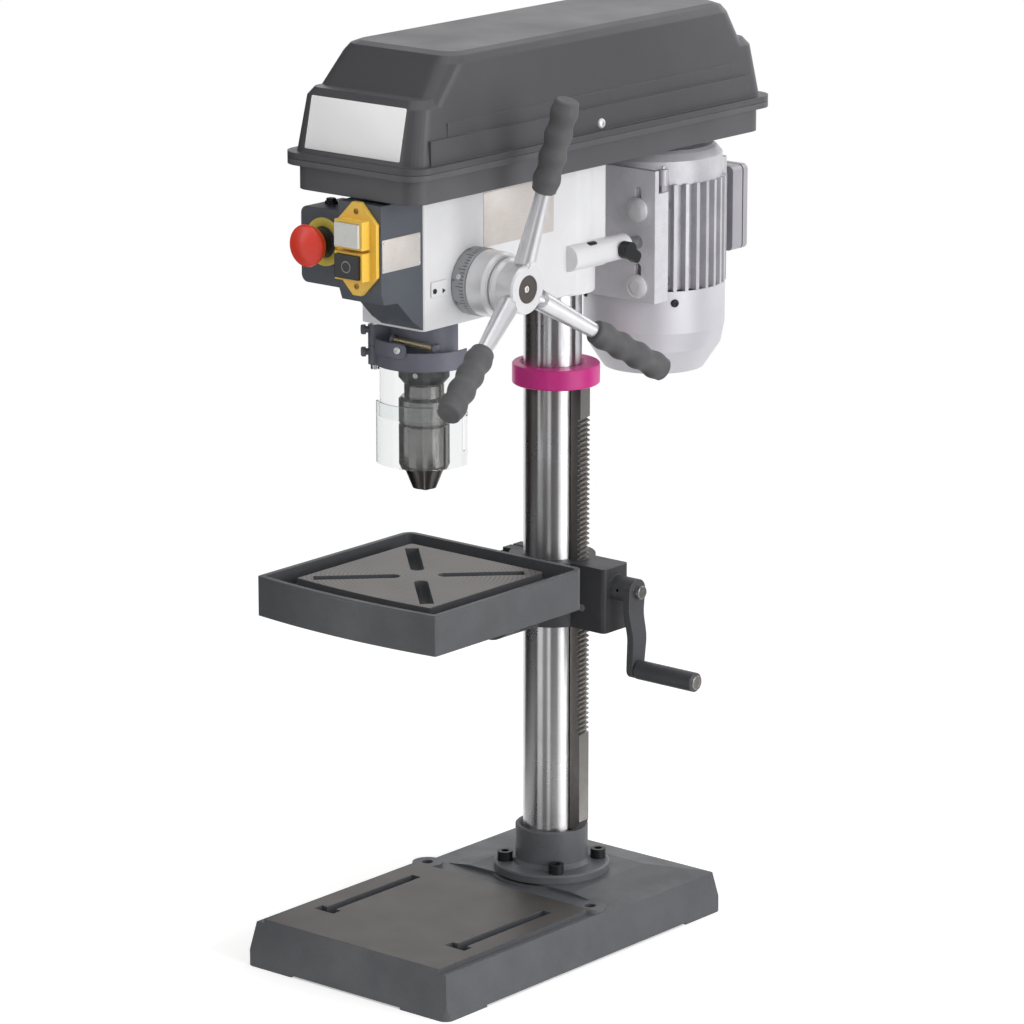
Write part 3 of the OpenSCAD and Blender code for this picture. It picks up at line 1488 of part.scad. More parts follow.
module belt_section() {
  top = step_h / 2 - groove_lip - belt_gap;
  bottom = top - 2.4;
  polygon([[0, -bottom], [belt_d, -top], [belt_d, top], [0, bottom]]);
}

module belt_arc(r, a0, a1) {
  rotate([0, 0, a0]) rotate_extrude(angle = a1 - a0) translate([r, 0]) belt_section();
}

module v_belt() {
  run = sqrt(belt_span * belt_span - pow(belt_r1 - belt_r2, 2));
  color("#202022") translate([0, spindle_y, belt_z]) {
    belt_arc(belt_r1, 180 - belt_tilt, 360 + belt_tilt);
    translate([0, belt_span, 0]) belt_arc(belt_r2, belt_tilt, 180 - belt_tilt);
    for (side = [0, 1])
      mirror([side, 0, 0]) rotate([0, 0, belt_tilt]) translate([belt_r1, -fit, 0])
        along_y(0, run + 2 * fit) belt_section();
  }
}

// Motor, its plate and its slide bars
motor_top = head_z + 94;
motor_z = motor_top - fin_h;
end_cap_h = 34;
rotor_r = 9;
motor_core = motor_r - fin_d;
motor_plate_t = 6;
plate_y = motor_y - motor_r - motor_plate_t - 1;
plate_z0 = motor_z - 6;
plate_z1 = motor_top + 20;
flange_l = 16;
foot_x = 43;
foot_r = 9.5;
foot_z = [motor_z + foot_r + 0.5, motor_top - 22];
bolt_r = 4;
bolt_head_r = 12.5;
bolt_head_t = 5;
bar_end_r = 5;

module motor_plate() {
  half = motor_plate_w / 2;
  color(motor_color) difference() {
    union() {
      block([-half, plate_y, plate_z0], [half, plate_y + motor_plate_t, plate_z1]);
      for (x = [-half, half - 4])
        block([x, plate_y, plate_z0], [x + 4, plate_y + flange_l + motor_plate_t, motor_top - 4]);
    }
    for (x = [-foot_x, foot_x], z = foot_z)
      translate([x, 0, z]) {
        rod_y(bolt_r + fit, plate_y - cut, plate_y + motor_plate_t + cut);
        block([-bolt_r, plate_y - cut, 0], [bolt_r, plate_y + motor_plate_t + cut, 20]);
        translate([0, 0, 20]) rod_y(bolt_r, plate_y - cut, plate_y + motor_plate_t + cut);
      }
    for (x = [-bar_spacing / 2, bar_spacing / 2])
      translate([x, 0, bar_z]) rod_y(bar_end_r + fit, plate_y - cut, plate_y + motor_plate_t + cut);
  }
}

module slide_bars() {
  color(steel_color) for (x = [-bar_spacing / 2, bar_spacing / 2]) translate([x, 0, bar_z]) {
    rod_y(bar_r, column_y + bar_front + 6 + slide_travel_y + cut, plate_y - fit);
    rod_y(bar_end_r, plate_y - cut, plate_y + motor_plate_t);
  }
}

module motor_body() {
  fin_t = 4;
  cap_z = motor_top + end_cap_h;
  tie_r = 6;
  color(motor_color) difference() {
    union() {
      translate([0, motor_y, motor_z]) linear_extrude(fin_h) union() {
        circle(motor_core);
        for (k = [0 : fins - 1])
          rotate((k + 0.5) * 360 / fins) translate([0, -fin_t / 2]) square([motor_r, fin_t]);
      }
      translate([0, motor_y, motor_top - cut]) rotate_extrude()
        polygon([[0, 0], [motor_core + 4, 0], [motor_core + 4, end_cap_h - 10], [motor_core - 2,
            end_cap_h - 3],
            [motor_core - 6, end_cap_h], [0, end_cap_h]]);
      for (k = [0 : 3])
        translate([0, motor_y, 0]) rotate([0, 0, 45 + 90 * k]) translate([motor_core + 3, 0, 0])
          rod_z(tie_r, motor_top - cut, motor_top + 16);
      for (x = [-foot_x, foot_x], z = foot_z)
        translate([x, 0, z]) rod_y(foot_r, plate_y + motor_plate_t + fit, motor_y - motor_core / 2);
    }
    translate([0, motor_y, 0]) rod_z(rotor_r + fit, motor_z - cut, cap_z + cut);
    for (x = [-foot_x, foot_x], z = foot_z)
      translate([x, 0, z]) rod_y(bolt_r + fit, plate_y, plate_y + motor_plate_t + 16);
  }
}

module motor_bolts() {
  color("#f0f0f0") for (x = [-foot_x, foot_x], z = foot_z) translate([x, plate_y, z]) {
    rod_y(bolt_r, -cut, motor_plate_t + 15);
    rotate([90, 0, 0]) rotate_extrude()
      polygon([[0, fit], [bolt_head_r, fit], [bolt_head_r, bolt_head_t / 2], [bolt_head_r - 3,
          bolt_head_t - 0.8],
          [bolt_head_r / 2, bolt_head_t], [0, bolt_head_t]]);
  }
}

module fan_cover() {
  t = 2;
  r = motor_r - 1;
  low_r = motor_r - 22;
  knee = 46;
  top = motor_z - fit;
  bottom = top - fan_cover_h;
  vents = 12;
  color(motor_color) translate([0, motor_y, 0]) difference() {
    rotate_extrude()
      polygon([[0, bottom], [low_r, bottom], [r - 4, bottom + knee - 20], [r, bottom + knee], [r, top],
          [r - t, top], [r - t, bottom + knee], [r - 4 - t, bottom + knee - 20], [low_r - t,
              bottom + t], [0, bottom + t]]);
    for (k = [0 : vents - 1])
      rotate([0, 0, k * 360 / vents]) block([14, -3, bottom - cut], [low_r - 6, 3, bottom + t + cut]);
  }
}

// Rotor shaft with the cooling fan on its lower end
module motor_rotor() {
  blades = 8;
  fan_r = motor_r - 14;
  fan_z = motor_z - 30;
  color(steel_color) translate([0, motor_y, 0]) {
    rod_z(rotor_r, fan_z - 4, pulley_top + 3);
    rod_z(fan_r, fan_z + 18, fan_z + 21);
    for (k = [0 : blades - 1])
      rotate([0, 0, k * 360 / blades]) block([rotor_r - cut, -1.5, fan_z], [fan_r, 1.5, fan_z + 19]);
  }
}

module terminal_box() {
  half = 45;
  y0 = motor_y + motor_r + fit;
  y1 = y0 + 16;
  lid = 7;
  z0 = motor_top - 90;
  gland_r = 8;
  color(motor_color) difference() {
    union() {
      along_y(y0, y1) rounded_plan(-half, half, z0, motor_top, 6);
      along_y(y1 - cut, y1 + 2) rounded_plan(-half + 3, half - 3, z0 + 3, motor_top - 3, 4);
      along_y(y1 + 2 - fit, y1 + 2 + lid) rounded_plan(-half, half, z0, motor_top, 6);
    }
    translate([0, y0 + 8, 0]) rod_z(gland_r - 2, z0 - cut, z0 + 20);
  }
}

// Wing screw that locks the slide bars
wing_r = 4;

module wing_screw() {
  wing_l = 20;
  wing_t = 7;
  hub = 9;
  boss = bar_spacing / 2 + bar_boss_r + clear;
  color(dark_color) translate([0, wing_y, bar_z]) {
    rod_x(wing_r, bar_spacing / 2 + bar_r + 2 * fit, boss + cut);
    rod_x(hub, boss, boss + 10);
    rotate([-35, 0, 0]) along_x(boss + 2, boss + 2 + wing_t)
      rounded_plan(-wing_l / 2, wing_l, -6, 6, 5);
  }
}

base();
column_flange();
flange_screws();
column();
rack();
rack_collar();
table_bracket();
lift_gear();
lift_gear_pin();
worm_shaft();
crank_arm();
crank_grip();
clamp_lever();
table_tray();
tilt_bolt();
head_casting();
head_bearings();
quill();
quill_bearings();
quill_collar();
spindle();
chuck_body();
chuck_sleeve();
chuck_jaw(0);  // chuck_jaw_1
chuck_jaw(1);  // chuck_jaw_2
chuck_jaw(2);  // chuck_jaw_3
feed_shaft();
depth_ring();
feed_hub();
feed_arms();
feed_grips();
hub_cap();
spring_housing();
return_spring();
switch_box();
estop_box();
switch_plate();
start_button();
stop_button();
estop_stem();
estop_button();
guard_ring();
guard_pin();
guard_band();
shield_upper();
shield_lower();
guard_spring();
belt_tray();
belt_hood();
spindle_pulley();
motor_pulley();
v_belt();
motor_plate();
slide_bars();
motor_body();
motor_bolts();
fan_cover();
motor_rotor();
terminal_box();
wing_screw();
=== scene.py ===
import json
import math

import bmesh
import bpy
from mathutils import Matrix, Vector

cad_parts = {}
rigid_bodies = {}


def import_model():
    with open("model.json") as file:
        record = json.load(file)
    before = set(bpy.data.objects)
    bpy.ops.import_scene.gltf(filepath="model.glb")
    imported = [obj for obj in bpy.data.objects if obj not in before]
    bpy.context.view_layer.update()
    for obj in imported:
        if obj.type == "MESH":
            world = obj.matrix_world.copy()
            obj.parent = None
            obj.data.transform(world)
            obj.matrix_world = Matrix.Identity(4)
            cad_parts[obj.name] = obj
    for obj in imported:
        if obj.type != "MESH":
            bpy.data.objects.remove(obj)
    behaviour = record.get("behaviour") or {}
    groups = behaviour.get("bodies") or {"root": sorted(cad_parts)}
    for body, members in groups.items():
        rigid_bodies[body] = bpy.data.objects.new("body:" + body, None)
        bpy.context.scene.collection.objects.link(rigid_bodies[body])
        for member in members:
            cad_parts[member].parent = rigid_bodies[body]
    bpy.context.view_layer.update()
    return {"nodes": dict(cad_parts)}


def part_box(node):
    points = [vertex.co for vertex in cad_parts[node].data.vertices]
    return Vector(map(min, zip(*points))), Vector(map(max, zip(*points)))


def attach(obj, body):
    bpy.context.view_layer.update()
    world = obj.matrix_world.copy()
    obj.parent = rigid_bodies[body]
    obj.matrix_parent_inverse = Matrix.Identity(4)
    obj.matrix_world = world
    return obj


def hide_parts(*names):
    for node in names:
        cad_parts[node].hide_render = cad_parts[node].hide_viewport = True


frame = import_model()
nodes = frame["nodes"]
mm = 0.001
for stray in [o for o in bpy.data.objects if o.type in {"LIGHT", "CAMERA"} or o.name == "Cube"]:
    bpy.data.objects.remove(stray)
print("frame loaded with", len(nodes), "solids")

# Axes that several pieces sit on, in millimetres, and the ways a piece can face
spindleAxis = (0, -129)      # x, y
motorAxis = (0, 239)         # x, y
feedAxis = (-102, 712)       # y, z
toRight, toLeft, toFront, toBack, upward = (1, 0, 0), (-1, 0, 0), (0, -1, 0), (0, 1, 0), (0, 0, 1)


# an sRGB hex value as the linear colour that a socket takes
def hexColour(code):
    parts = [int(code[k:k + 2], 16) / 255 for k in (1, 3, 5)]
    return [c / 12.92 if c <= 0.04045 else ((c + 0.055) / 1.055) ** 2.4 for c in parts] + [1.0]


# adds one node, sets its own settings, its sockets' values and what is linked into it
def addNode(tree, kind, links=None, values=None, **settings):
    made = tree.nodes.new(kind)
    for name, value in settings.items():
        setattr(made, name, value)
    for socket, value in (values or {}).items():
        made.inputs[socket].default_value = value
    for socket, source in (links or {}).items():
        tree.links.new(source, made.inputs[socket])
    return made


def newMaterial(name):
    material = bpy.data.materials.new(name)
    material.use_nodes = True
    material.node_tree.nodes.clear()
    return material, material.node_tree


mixA, mixB, mixOut = 6, 7, 2                 # sockets of the Mix node for colours
numberA, numberB = 2, 3                      # the same for numbers
vectorA, vectorB, vectorOut = 4, 5, 1        # and for directions

# What all finishes share. Grain finer than about a millimetre doesn't show in the render, so where the real
# one is finer it is drawn about that coarse
skinNoise = {"blotchDetail": 3.0, "blotchRough": 0.55, "grainDetail": 2.0, "grainRough": 0.6,
             "spread": (0.32, 0.68), "reach": (0.3, 0.7), "rubbed": (0.985, 0.90), "edgeSamples": 4,
             "quarterTurn": 0.25}


# Finishes: a skin with blotches, grain that stands up and edges that catch the light
def makeFinish(look, mask=None, under=None):
    material, tree = newMaterial(look["name"])
    place = addNode(tree, "ShaderNodeTexCoord").outputs["Object"]
    soft = addNode(tree, "ShaderNodeBevel", values={"Radius": look["edgeMm"] * mm},
                   samples=skinNoise["edgeSamples"]).outputs[0]
    blotch = addNode(tree, "ShaderNodeTexNoise", {"Vector": place},
                     {"Scale": 1 / (look["blotchMm"] * mm), "Detail": skinNoise["blotchDetail"],
                      "Roughness": skinNoise["blotchRough"]}).outputs["Fac"]
    stretched = addNode(tree, "ShaderNodeMapping", {"Vector": place},
                        {"Scale": look.get("stretch", (1, 1, 1))}).outputs[0]
    grain = addNode(tree, "ShaderNodeTexNoise", {"Vector": stretched},
                    {"Scale": 1 / (look["grainMm"] * mm), "Detail": skinNoise["grainDetail"],
                     "Roughness": skinNoise["grainRough"]}).outputs["Fac"]
    low, high = skinNoise["spread"]
    spread = addNode(tree, "ShaderNodeMapRange", {"Value": blotch},
                     {"From Min": low, "From Max": high}).outputs[0]
    tone = addNode(tree, "ShaderNodeMix", {0: spread},
                   {mixA: hexColour(look["colour"]), mixB: hexColour(look["tone"])}, data_type="RGBA")
    low, high = skinNoise["reach"]
    speck = addNode(tree, "ShaderNodeMapRange", {"Value": grain},
                    {"From Min": low, "From Max": high,
                     "To Min": 1 - look["speck"], "To Max": 1 + look["speck"]})
    colour = addNode(tree, "ShaderNodeMix", {mixA: tone.outputs[mixOut], mixB: speck.outputs[0]}, {0: 1.0},
                     data_type="RGBA", blend_type="MULTIPLY").outputs[mixOut]
    rough = addNode(tree, "ShaderNodeMapRange", {"Value": blotch},
                    {"From Min": low, "From Max": high,
                     "To Min": look["rough"][0], "To Max": look["rough"][1]}).outputs[0]
    if "worn" in look:             # paint rubbed thin along the edges
        flat = addNode(tree, "ShaderNodeNewGeometry").outputs["Normal"]
        dot = addNode(tree, "ShaderNodeVectorMath", {0: soft, 1: flat}, operation="DOT_PRODUCT")
        low, high = skinNoise["rubbed"]
        rub = addNode(tree, "ShaderNodeMapRange", {"Value": dot.outputs["Value"]},
                      {"From Min": low, "From Max": high, "To Min": 0.0, "To Max": look["wear"]})
        patchy = addNode(tree, "ShaderNodeMath", {0: rub.outputs[0], 1: spread}, operation="MULTIPLY")
        colour = addNode(tree, "ShaderNodeMix", {0: patchy.outputs[0], mixA: colour},
                         {mixB: hexColour(look["worn"])}, data_type="RGBA").outputs[mixOut]
    normal = addNode(tree, "ShaderNodeBump", {"Height": grain, "Normal": soft},
                     {"Strength": 1.0, "Distance": look["depthMm"] * mm}).outputs[0]
    metallic = None
    if mask:                       # a bare face on a painted casting, or filled marks on bare metal
        shown, bareColour, bareRough, bareNormal = mask(tree, place, soft, under)
        colour = addNode(tree, "ShaderNodeMix", {0: shown, mixA: colour, mixB: bareColour},
                         data_type="RGBA").outputs[mixOut]
        rough = addNode(tree, "ShaderNodeMix", {0: shown, numberA: rough, numberB: bareRough}).outputs[0]
        normal = addNode(tree, "ShaderNodeMix", {0: shown, vectorA: normal, vectorB: bareNormal},
                         data_type="VECTOR").outputs[vectorOut]
        metallic = addNode(tree, "ShaderNodeMath", {0: shown}, {1: under["metallic"]}, operation="MULTIPLY")
    skin = addNode(tree, "ShaderNodeBsdfPrincipled",
                   {"Base Color": colour, "Roughness": rough, "Normal": normal},
                   {"Metallic": look.get("metallic", 0.0)})
    if "anisotropic" in look:      # ground round its axis, so that lights stretch along it
        skin.inputs["Anisotropic"].default_value = look["anisotropic"]
        skin.inputs["Anisotropic Rotation"].default_value = skinNoise["quarterTurn"]
        tangent = addNode(tree, "ShaderNodeTangent", direction_type="RADIAL", axis="Z")
        tree.links.new(tangent.outputs[0], skin.inputs["Tangent"])
    if metallic:                   # what the mask doesn't show then has none
        tree.links.new(metallic.outputs[0], skin.inputs["Metallic"])
    addNode(tree, "ShaderNodeOutputMaterial", {"Surface": skin.outputs[0]})
    return material


def dress(material, *names):
    for name in names:
        for slot in nodes[name].material_slots:
            slot.material = material
    return material


# Ground iron: brown-grey, half matt, with the cutter's marks. The real ones are a few tenths of a millimetre
# apart, too fine to show, so they are drawn coarser
groundBase = {"colour": "#5f5a57", "tone": "#524e4c", "lineMm": 1.6, "depthMm": 0.03, "rough": 0.42,
              "smoother": 0.06, "rougher": 0.1, "metallic": 0.55, "levelMm": 50, "nearMm": 0.2, "backMm": -9,
              "centreMm": (0, 0, 0), "rings": False, "waver": 0.6, "waverDetail": 2.0, "waverScale": 1.5,
              "stainMm": 38, "stainDetail": 4.0}
groundTable = dict(groundBase, colour="#827c78", tone="#5e5a57", lineMm=4.5, depthMm=0.05, rough=0.40,
                   metallic=0.6, levelMm=410.5, backMm=400, centreMm=(0, -138, 0), rings=True)
waveLength = 0.314           # of the wave pattern at scale 1


def groundFace(tree, place, soft, ground):
    split = addNode(tree, "ShaderNodeSeparateXYZ", {0: place})
    level = addNode(tree, "ShaderNodeMath", {0: split.outputs["Z"]},
                    {1: ground["levelMm"] * mm, 2: ground["nearMm"] * mm}, operation="COMPARE")
    ahead = addNode(tree, "ShaderNodeMath", {0: split.outputs["Y"]}, {1: ground["backMm"] * mm},
                    operation="LESS_THAN")
    shown = addNode(tree, "ShaderNodeMath", {0: level.outputs[0], 1: ahead.outputs[0]}, operation="MULTIPLY")
    centred = addNode(tree, "ShaderNodeMapping", {"Vector": place},
                      {"Location": [-c * mm for c in ground["centreMm"]]})
    lines = addNode(tree, "ShaderNodeTexWave", {"Vector": centred.outputs[0]},
                    {"Scale": waveLength / (ground["lineMm"] * mm), "Distortion": ground["waver"],
                     "Detail": ground["waverDetail"], "Detail Scale": ground["waverScale"]},
                    wave_type="RINGS" if ground["rings"] else "BANDS",
                    rings_direction="Z", bands_direction="X").outputs["Fac"]
    stain = addNode(tree, "ShaderNodeTexNoise", {"Vector": place},
                    {"Scale": 1 / (ground["stainMm"] * mm), "Detail": ground["stainDetail"]}).outputs["Fac"]
    mixed = addNode(tree, "ShaderNodeMath", {0: lines, 1: stain}, operation="MULTIPLY")
    tone = addNode(tree, "ShaderNodeMix", {0: mixed.outputs[0]},
                   {mixA: hexColour(ground["tone"]), mixB: hexColour(ground["colour"])}, data_type="RGBA")
    rough = addNode(tree, "ShaderNodeMapRange", {"Value": stain},
                    {"To Min": ground["rough"] - ground["smoother"],
                     "To Max": ground["rough"] + ground["rougher"]})
    cutMarks = addNode(tree, "ShaderNodeBump", {"Height": lines, "Normal": soft},
                       {"Strength": 1.0, "Distance": ground["depthMm"] * mm})
    return shown.outputs[0], tone.outputs[mixOut], rough.outputs[0], cutMarks.outputs[0]


# Satin enamel on cast iron: the sand's soft grain shows through, edges are rubbed a little
castEnamel = {"name": "satinEnamelOnCastIron", "colour": "#55575b", "tone": "#4d4f53", "blotchMm": 45,
              "grainMm": 1.8, "depthMm": 0.22, "speck": 0.06, "rough": (0.42, 0.55), "edgeMm": 1.2,
              "worn": "#7d7f83", "wear": 0.5}
baseEnamel = dict(castEnamel, name="satinEnamelWithGroundPad")
tableEnamel = dict(castEnamel, name="satinEnamelWithGroundPlate", colour="#525458", tone="#4b4d50")
flangeEnamel = dict(castEnamel, name="satinEnamelFlange", colour="#5d5f63", tone="#55575b")
crankEnamel = dict(castEnamel, name="satinEnamelCrank", colour="#444549", tone="#3e3f42")
bracketEnamel = dict(castEnamel, name="darkEnamelOnCastIron", colour="#343438", tone="#2f2f33")
dress(makeFinish(baseEnamel, groundFace, groundBase), "base")
dress(makeFinish(tableEnamel, groundFace, groundTable), "table_tray")
dress(makeFinish(flangeEnamel), "column_flange")
dress(makeFinish(crankEnamel), "crank_arm", "crank_grip")
dress(makeFinish(bracketEnamel), "table_bracket")

# Powder coat, off-white: pale, a little glossy, with a fine orange peel
headCoat = {"name": "whitePowderCoat", "colour": "#e4e4e6", "tone": "#dcdcdf", "blotchMm": 70,
            "grainMm": 1.6, "depthMm": 0.06, "speck": 0.012, "rough": (0.34, 0.44), "edgeMm": 1.6}
coatSkin = dress(makeFinish(headCoat), "head_casting", "spring_housing")

# Structured charcoal paint on pressed sheet: satin, with fine specks
hoodCoat = {"name": "charcoalStructurePaint", "colour": "#4b4b4f", "tone": "#454549", "blotchMm": 90,
            "grainMm": 0.9, "depthMm": 0.05, "speck": 0.05, "rough": (0.36, 0.46), "edgeMm": 2.0,
            "worn": "#67676b", "wear": 0.35}
trayCoat = dict(hoodCoat, name="charcoalPaintTray", colour="#56565a", tone="#4f4f53")
dress(makeFinish(hoodCoat), "belt_hood")
dress(makeFinish(trayCoat), "belt_tray")

# Moulded ABS boxes: blue-grey, with a spark-eroded grain that is finer on the real ones
switchAbs = {"name": "mouldedGreyAbs", "colour": "#50555d", "tone": "#4a4f57", "blotchMm": 60,
             "grainMm": 0.7, "depthMm": 0.04, "speck": 0.03, "rough": (0.42, 0.5), "edgeMm": 1.5}
dress(makeFinish(switchAbs), "switch_box", "estop_box")

# Moulded plastics of the switches and the hub's cap: smooth and glossy
yellowAbs = {"name": "mouldedYellowAbs", "colour": "#f4c956", "tone": "#eec24c", "blotchMm": 30,
             "grainMm": 0.8, "depthMm": 0.012, "speck": 0.015, "rough": (0.26, 0.34), "edgeMm": 1.2}
redAbs = dict(yellowAbs, name="mouldedRedAbs", colour="#e6402e", tone="#de3928", rough=(0.28, 0.36))
whiteAbs = dict(yellowAbs, name="mouldedWhiteAbs", colour="#dcdcd8", tone="#d3d3cf")
blackAbs = dict(yellowAbs, name="mouldedBlackAbs", colour="#232427", tone="#1d1e20", rough=(0.3, 0.4))
capAbs = dict(blackAbs, name="mouldedBrownGreyAbs", colour="#4d4643", tone="#453f3c", rough=(0.38, 0.46))
dress(makeFinish(yellowAbs), "switch_plate")
dress(makeFinish(redAbs), "estop_button")
dress(makeFinish(whiteAbs), "start_button")
blackSkin = dress(makeFinish(blackAbs), "stop_button", "estop_stem")
dress(makeFinish(capAbs), "hub_cap")

# Glass-filled nylon of the guard: dark blue-grey, half matt, with a fine grain
guardNylon = dict(switchAbs, name="glassFilledNylon", colour="#666874", tone="#5b5d68", rough=(0.4, 0.5))
guardSkin = dress(makeFinish(guardNylon), "guard_ring", "guard_band")

# Pigmented nylon collar: strong magenta, smooth
collarNylon = dict(yellowAbs, name="magentaNylon", colour="#cc2a86", tone="#c32680", rough=(0.32, 0.4))
dress(makeFinish(collarNylon), "rack_collar")

# Soft rubber: matt, with a fine moulded grain
gripRubber = {"name": "mouldedGripRubber", "colour": "#58585a", "tone": "#505052", "blotchMm": 25,
              "grainMm": 0.8, "depthMm": 0.07, "speck": 0.05, "rough": (0.6, 0.72), "edgeMm": 1.5}
beltRubber = dict(gripRubber, name="beltRubber", colour="#242426", tone="#1e1e20")
dress(makeFinish(gripRubber), "feed_grips")
dress(makeFinish(beltRubber), "v_belt")

# Silver enamel of the motor: pale violet-grey with a slight sheen, grainy on the cast aluminium and smooth
# on the pressed cover and the lid
motorEnamel = {"name": "silverEnamelOnCastAluminium", "colour": "#c9c8cd", "tone": "#bbbabf", "blotchMm": 26,
               "grainMm": 1.6, "depthMm": 0.2, "speck": 0.05, "rough": (0.34, 0.46), "edgeMm": 0.8,
               "metallic": 0.25, "worn": "#d8d8da", "wear": 0.5}
coverEnamel = dict(motorEnamel, name="silverEnamelOnSheet", colour="#cdccd2", tone="#c6c5cb", grainMm=1.2,
                   depthMm=0.04, speck=0.015, blotchMm=80)
# The plate's copy of the silver enamel is paler: painted light that offsets the shadow of the head on it
plateEnamelWithPaintedLight = dict(motorEnamel, name="silverEnamelOnPlate", colour="#dddce1", tone="#d0cfd5")
boxEnamel = dict(coverEnamel, name="greyEnamelOnLid", colour="#aba9b0", tone="#a3a1a8")
dress(makeFinish(motorEnamel), "motor_body")
dress(makeFinish(plateEnamelWithPaintedLight), "motor_plate")
dress(makeFinish(coverEnamel), "fan_cover")
dress(makeFinish(boxEnamel), "terminal_box")

# Ground and polished column: bright, with the grinder's faint rings, coarser than the real ones
columnSteel = {"name": "groundSteelTube", "colour": "#cfcfd2", "tone": "#c4c3c3", "blotchMm": 60,
               "grainMm": 0.9, "stretch": (0.06, 0.06, 1), "depthMm": 0.001, "speck": 0.03,
               "rough": (0.26, 0.31), "edgeMm": 0.5, "metallic": 1.0, "anisotropic": 0.95}
dress(makeFinish(columnSteel), "column")

# Milled steel: warm grey with fine upright streaks. Turned steel: paler, smoother and brighter
rackSteel = {"name": "milledSteel", "colour": "#a9a6a3", "tone": "#989593", "blotchMm": 20, "grainMm": 0.8,
             "depthMm": 0.03, "speck": 0.08, "rough": (0.3, 0.42), "edgeMm": 0.4, "metallic": 1.0,
             "stretch": (1, 1, 0.2)}
turnedSteel = dict(rackSteel, name="turnedSteel", colour="#c2c2c5", tone="#b3b3b6", depthMm=0.01,
                   rough=(0.2, 0.3))
milledSkin = dress(makeFinish(rackSteel), "rack", "lift_gear", "lift_gear_pin", "worm_shaft")
dress(makeFinish(turnedSteel), "quill", "spindle", "feed_shaft", "slide_bars", "guard_pin", "motor_rotor",
      "head_bearings", "quill_bearings", "return_spring", "guard_spring")

# Hardened and polished chuck: dark chrome, with lights drawn out along it
chuckSteel = dict(rackSteel, name="polishedChuckSteel", colour="#82807f", tone="#777574", depthMm=0.004,
                  speck=0.02, rough=(0.22, 0.28), stretch=(0.1, 0.1, 1), anisotropic=0.9)
dress(makeFinish(chuckSteel), "chuck_body", "chuck_sleeve", "chuck_jaw_1", "chuck_jaw_2", "chuck_jaw_3")

# Black oxide on screws and levers: nearly black, a little oily
blackOxide = {"name": "blackOxideSteel", "colour": "#2a2b2e", "tone": "#202123", "blotchMm": 12,
              "grainMm": 0.6, "depthMm": 0.015, "speck": 0.05, "rough": (0.34, 0.46), "edgeMm": 0.5,
              "metallic": 0.4, "worn": "#5a5b5e", "wear": 0.6}
oxideSkin = dress(makeFinish(blackOxide), "flange_screws", "clamp_lever", "tilt_bolt", "quill_collar",
                  "wing_screw")

# Satin chrome of the feed handle: pale, with soft lights. Cast aluminium pulleys: duller and coarser
feedChrome = dict(rackSteel, name="satinChrome", colour="#e0e0e3", tone="#d6d6da", depthMm=0.006, speck=0.02,
                  rough=(0.3, 0.38), stretch=(1, 1, 1), edgeMm=0.8, metallic=0.7)
hubSilver = dict(feedChrome, name="satinSilverHub", colour="#ececee", tone="#e4e4e7", metallic=0.45)
pulleyAlloy = dict(feedChrome, name="castAluminium", colour="#b4b5b8", tone="#a6a7aa", rough=(0.36, 0.46),
                   depthMm=0.03, metallic=1.0)
dress(makeFinish(hubSilver), "feed_hub")
dress(makeFinish(feedChrome), "feed_arms")
dress(makeFinish(pulleyAlloy), "spindle_pulley", "motor_pulley")

# Satin aluminium dial: mid-grey, with its engraved marks filled with black
dialAlloy = dict(feedChrome, name="satinAluminiumDial", colour="#a9aaae", tone="#9c9da2", rough=(0.38, 0.46),
                 speck=0.06)
markFill = {"colour": "#1d1d1f", "tone": "#2b2b2d", "patchMm": 2, "rough": 0.5, "roughSpan": 0.1,
            "metallic": 0.0, "axisMm": (0, *feedAxis), "depthsMm": (33.4, 33.95), "middleMm": 51.2,
            "reachMm": 5.0}


def filledMarks(tree, place, soft, fill):
    centred = addNode(tree, "ShaderNodeMapping", {"Vector": place},
                      {"Location": [-c * mm for c in fill["axisMm"]]})
    flat = addNode(tree, "ShaderNodeVectorMath", {0: centred.outputs[0]}, {1: (0, 1, 1)},
                   operation="MULTIPLY")
    radius = addNode(tree, "ShaderNodeVectorMath", {0: flat.outputs[0]}, operation="LENGTH").outputs["Value"]
    inner, outer = fill["depthsMm"]
    deep = addNode(tree, "ShaderNodeMath", {0: radius}, {1: inner * mm}, operation="GREATER_THAN")
    sunk = addNode(tree, "ShaderNodeMath", {0: radius}, {1: outer * mm}, operation="LESS_THAN")
    along = addNode(tree, "ShaderNodeSeparateXYZ", {0: place}).outputs["X"]
    middle = addNode(tree, "ShaderNodeMath", {0: along},
                     {1: fill["middleMm"] * mm, 2: fill["reachMm"] * mm}, operation="COMPARE")
    groove = addNode(tree, "ShaderNodeMath", {0: deep.outputs[0], 1: sunk.outputs[0]}, operation="MULTIPLY")
    shown = addNode(tree, "ShaderNodeMath", {0: groove.outputs[0], 1: middle.outputs[0]},
                    operation="MULTIPLY")
    patch = addNode(tree, "ShaderNodeTexNoise", {"Vector": place},
                    {"Scale": 1 / (fill["patchMm"] * mm)}).outputs["Fac"]
    tone = addNode(tree, "ShaderNodeMix", {0: patch},
                   {mixA: hexColour(fill["colour"]), mixB: hexColour(fill["tone"])}, data_type="RGBA")
    rough = addNode(tree, "ShaderNodeMapRange", {"Value": patch},
                    {"To Min": fill["rough"] - fill["roughSpan"],
                     "To Max": fill["rough"] + fill["roughSpan"]})
    return shown.outputs[0], tone.outputs[mixOut], rough.outputs[0], soft


dress(makeFinish(dialAlloy, filledMarks, markFill), "depth_ring")

# Zinc-plated bolts: bright and pale
boltZinc = dict(rackSteel, name="zincPlatedSteel", colour="#e6e6e8", tone="#dcdcdf", depthMm=0.006,
                speck=0.02, rough=(0.28, 0.36), stretch=(1, 1, 1), metallic=0.35, edgeMm=0.8)
zincSkin = dress(makeFinish(boltZinc), "motor_bolts")

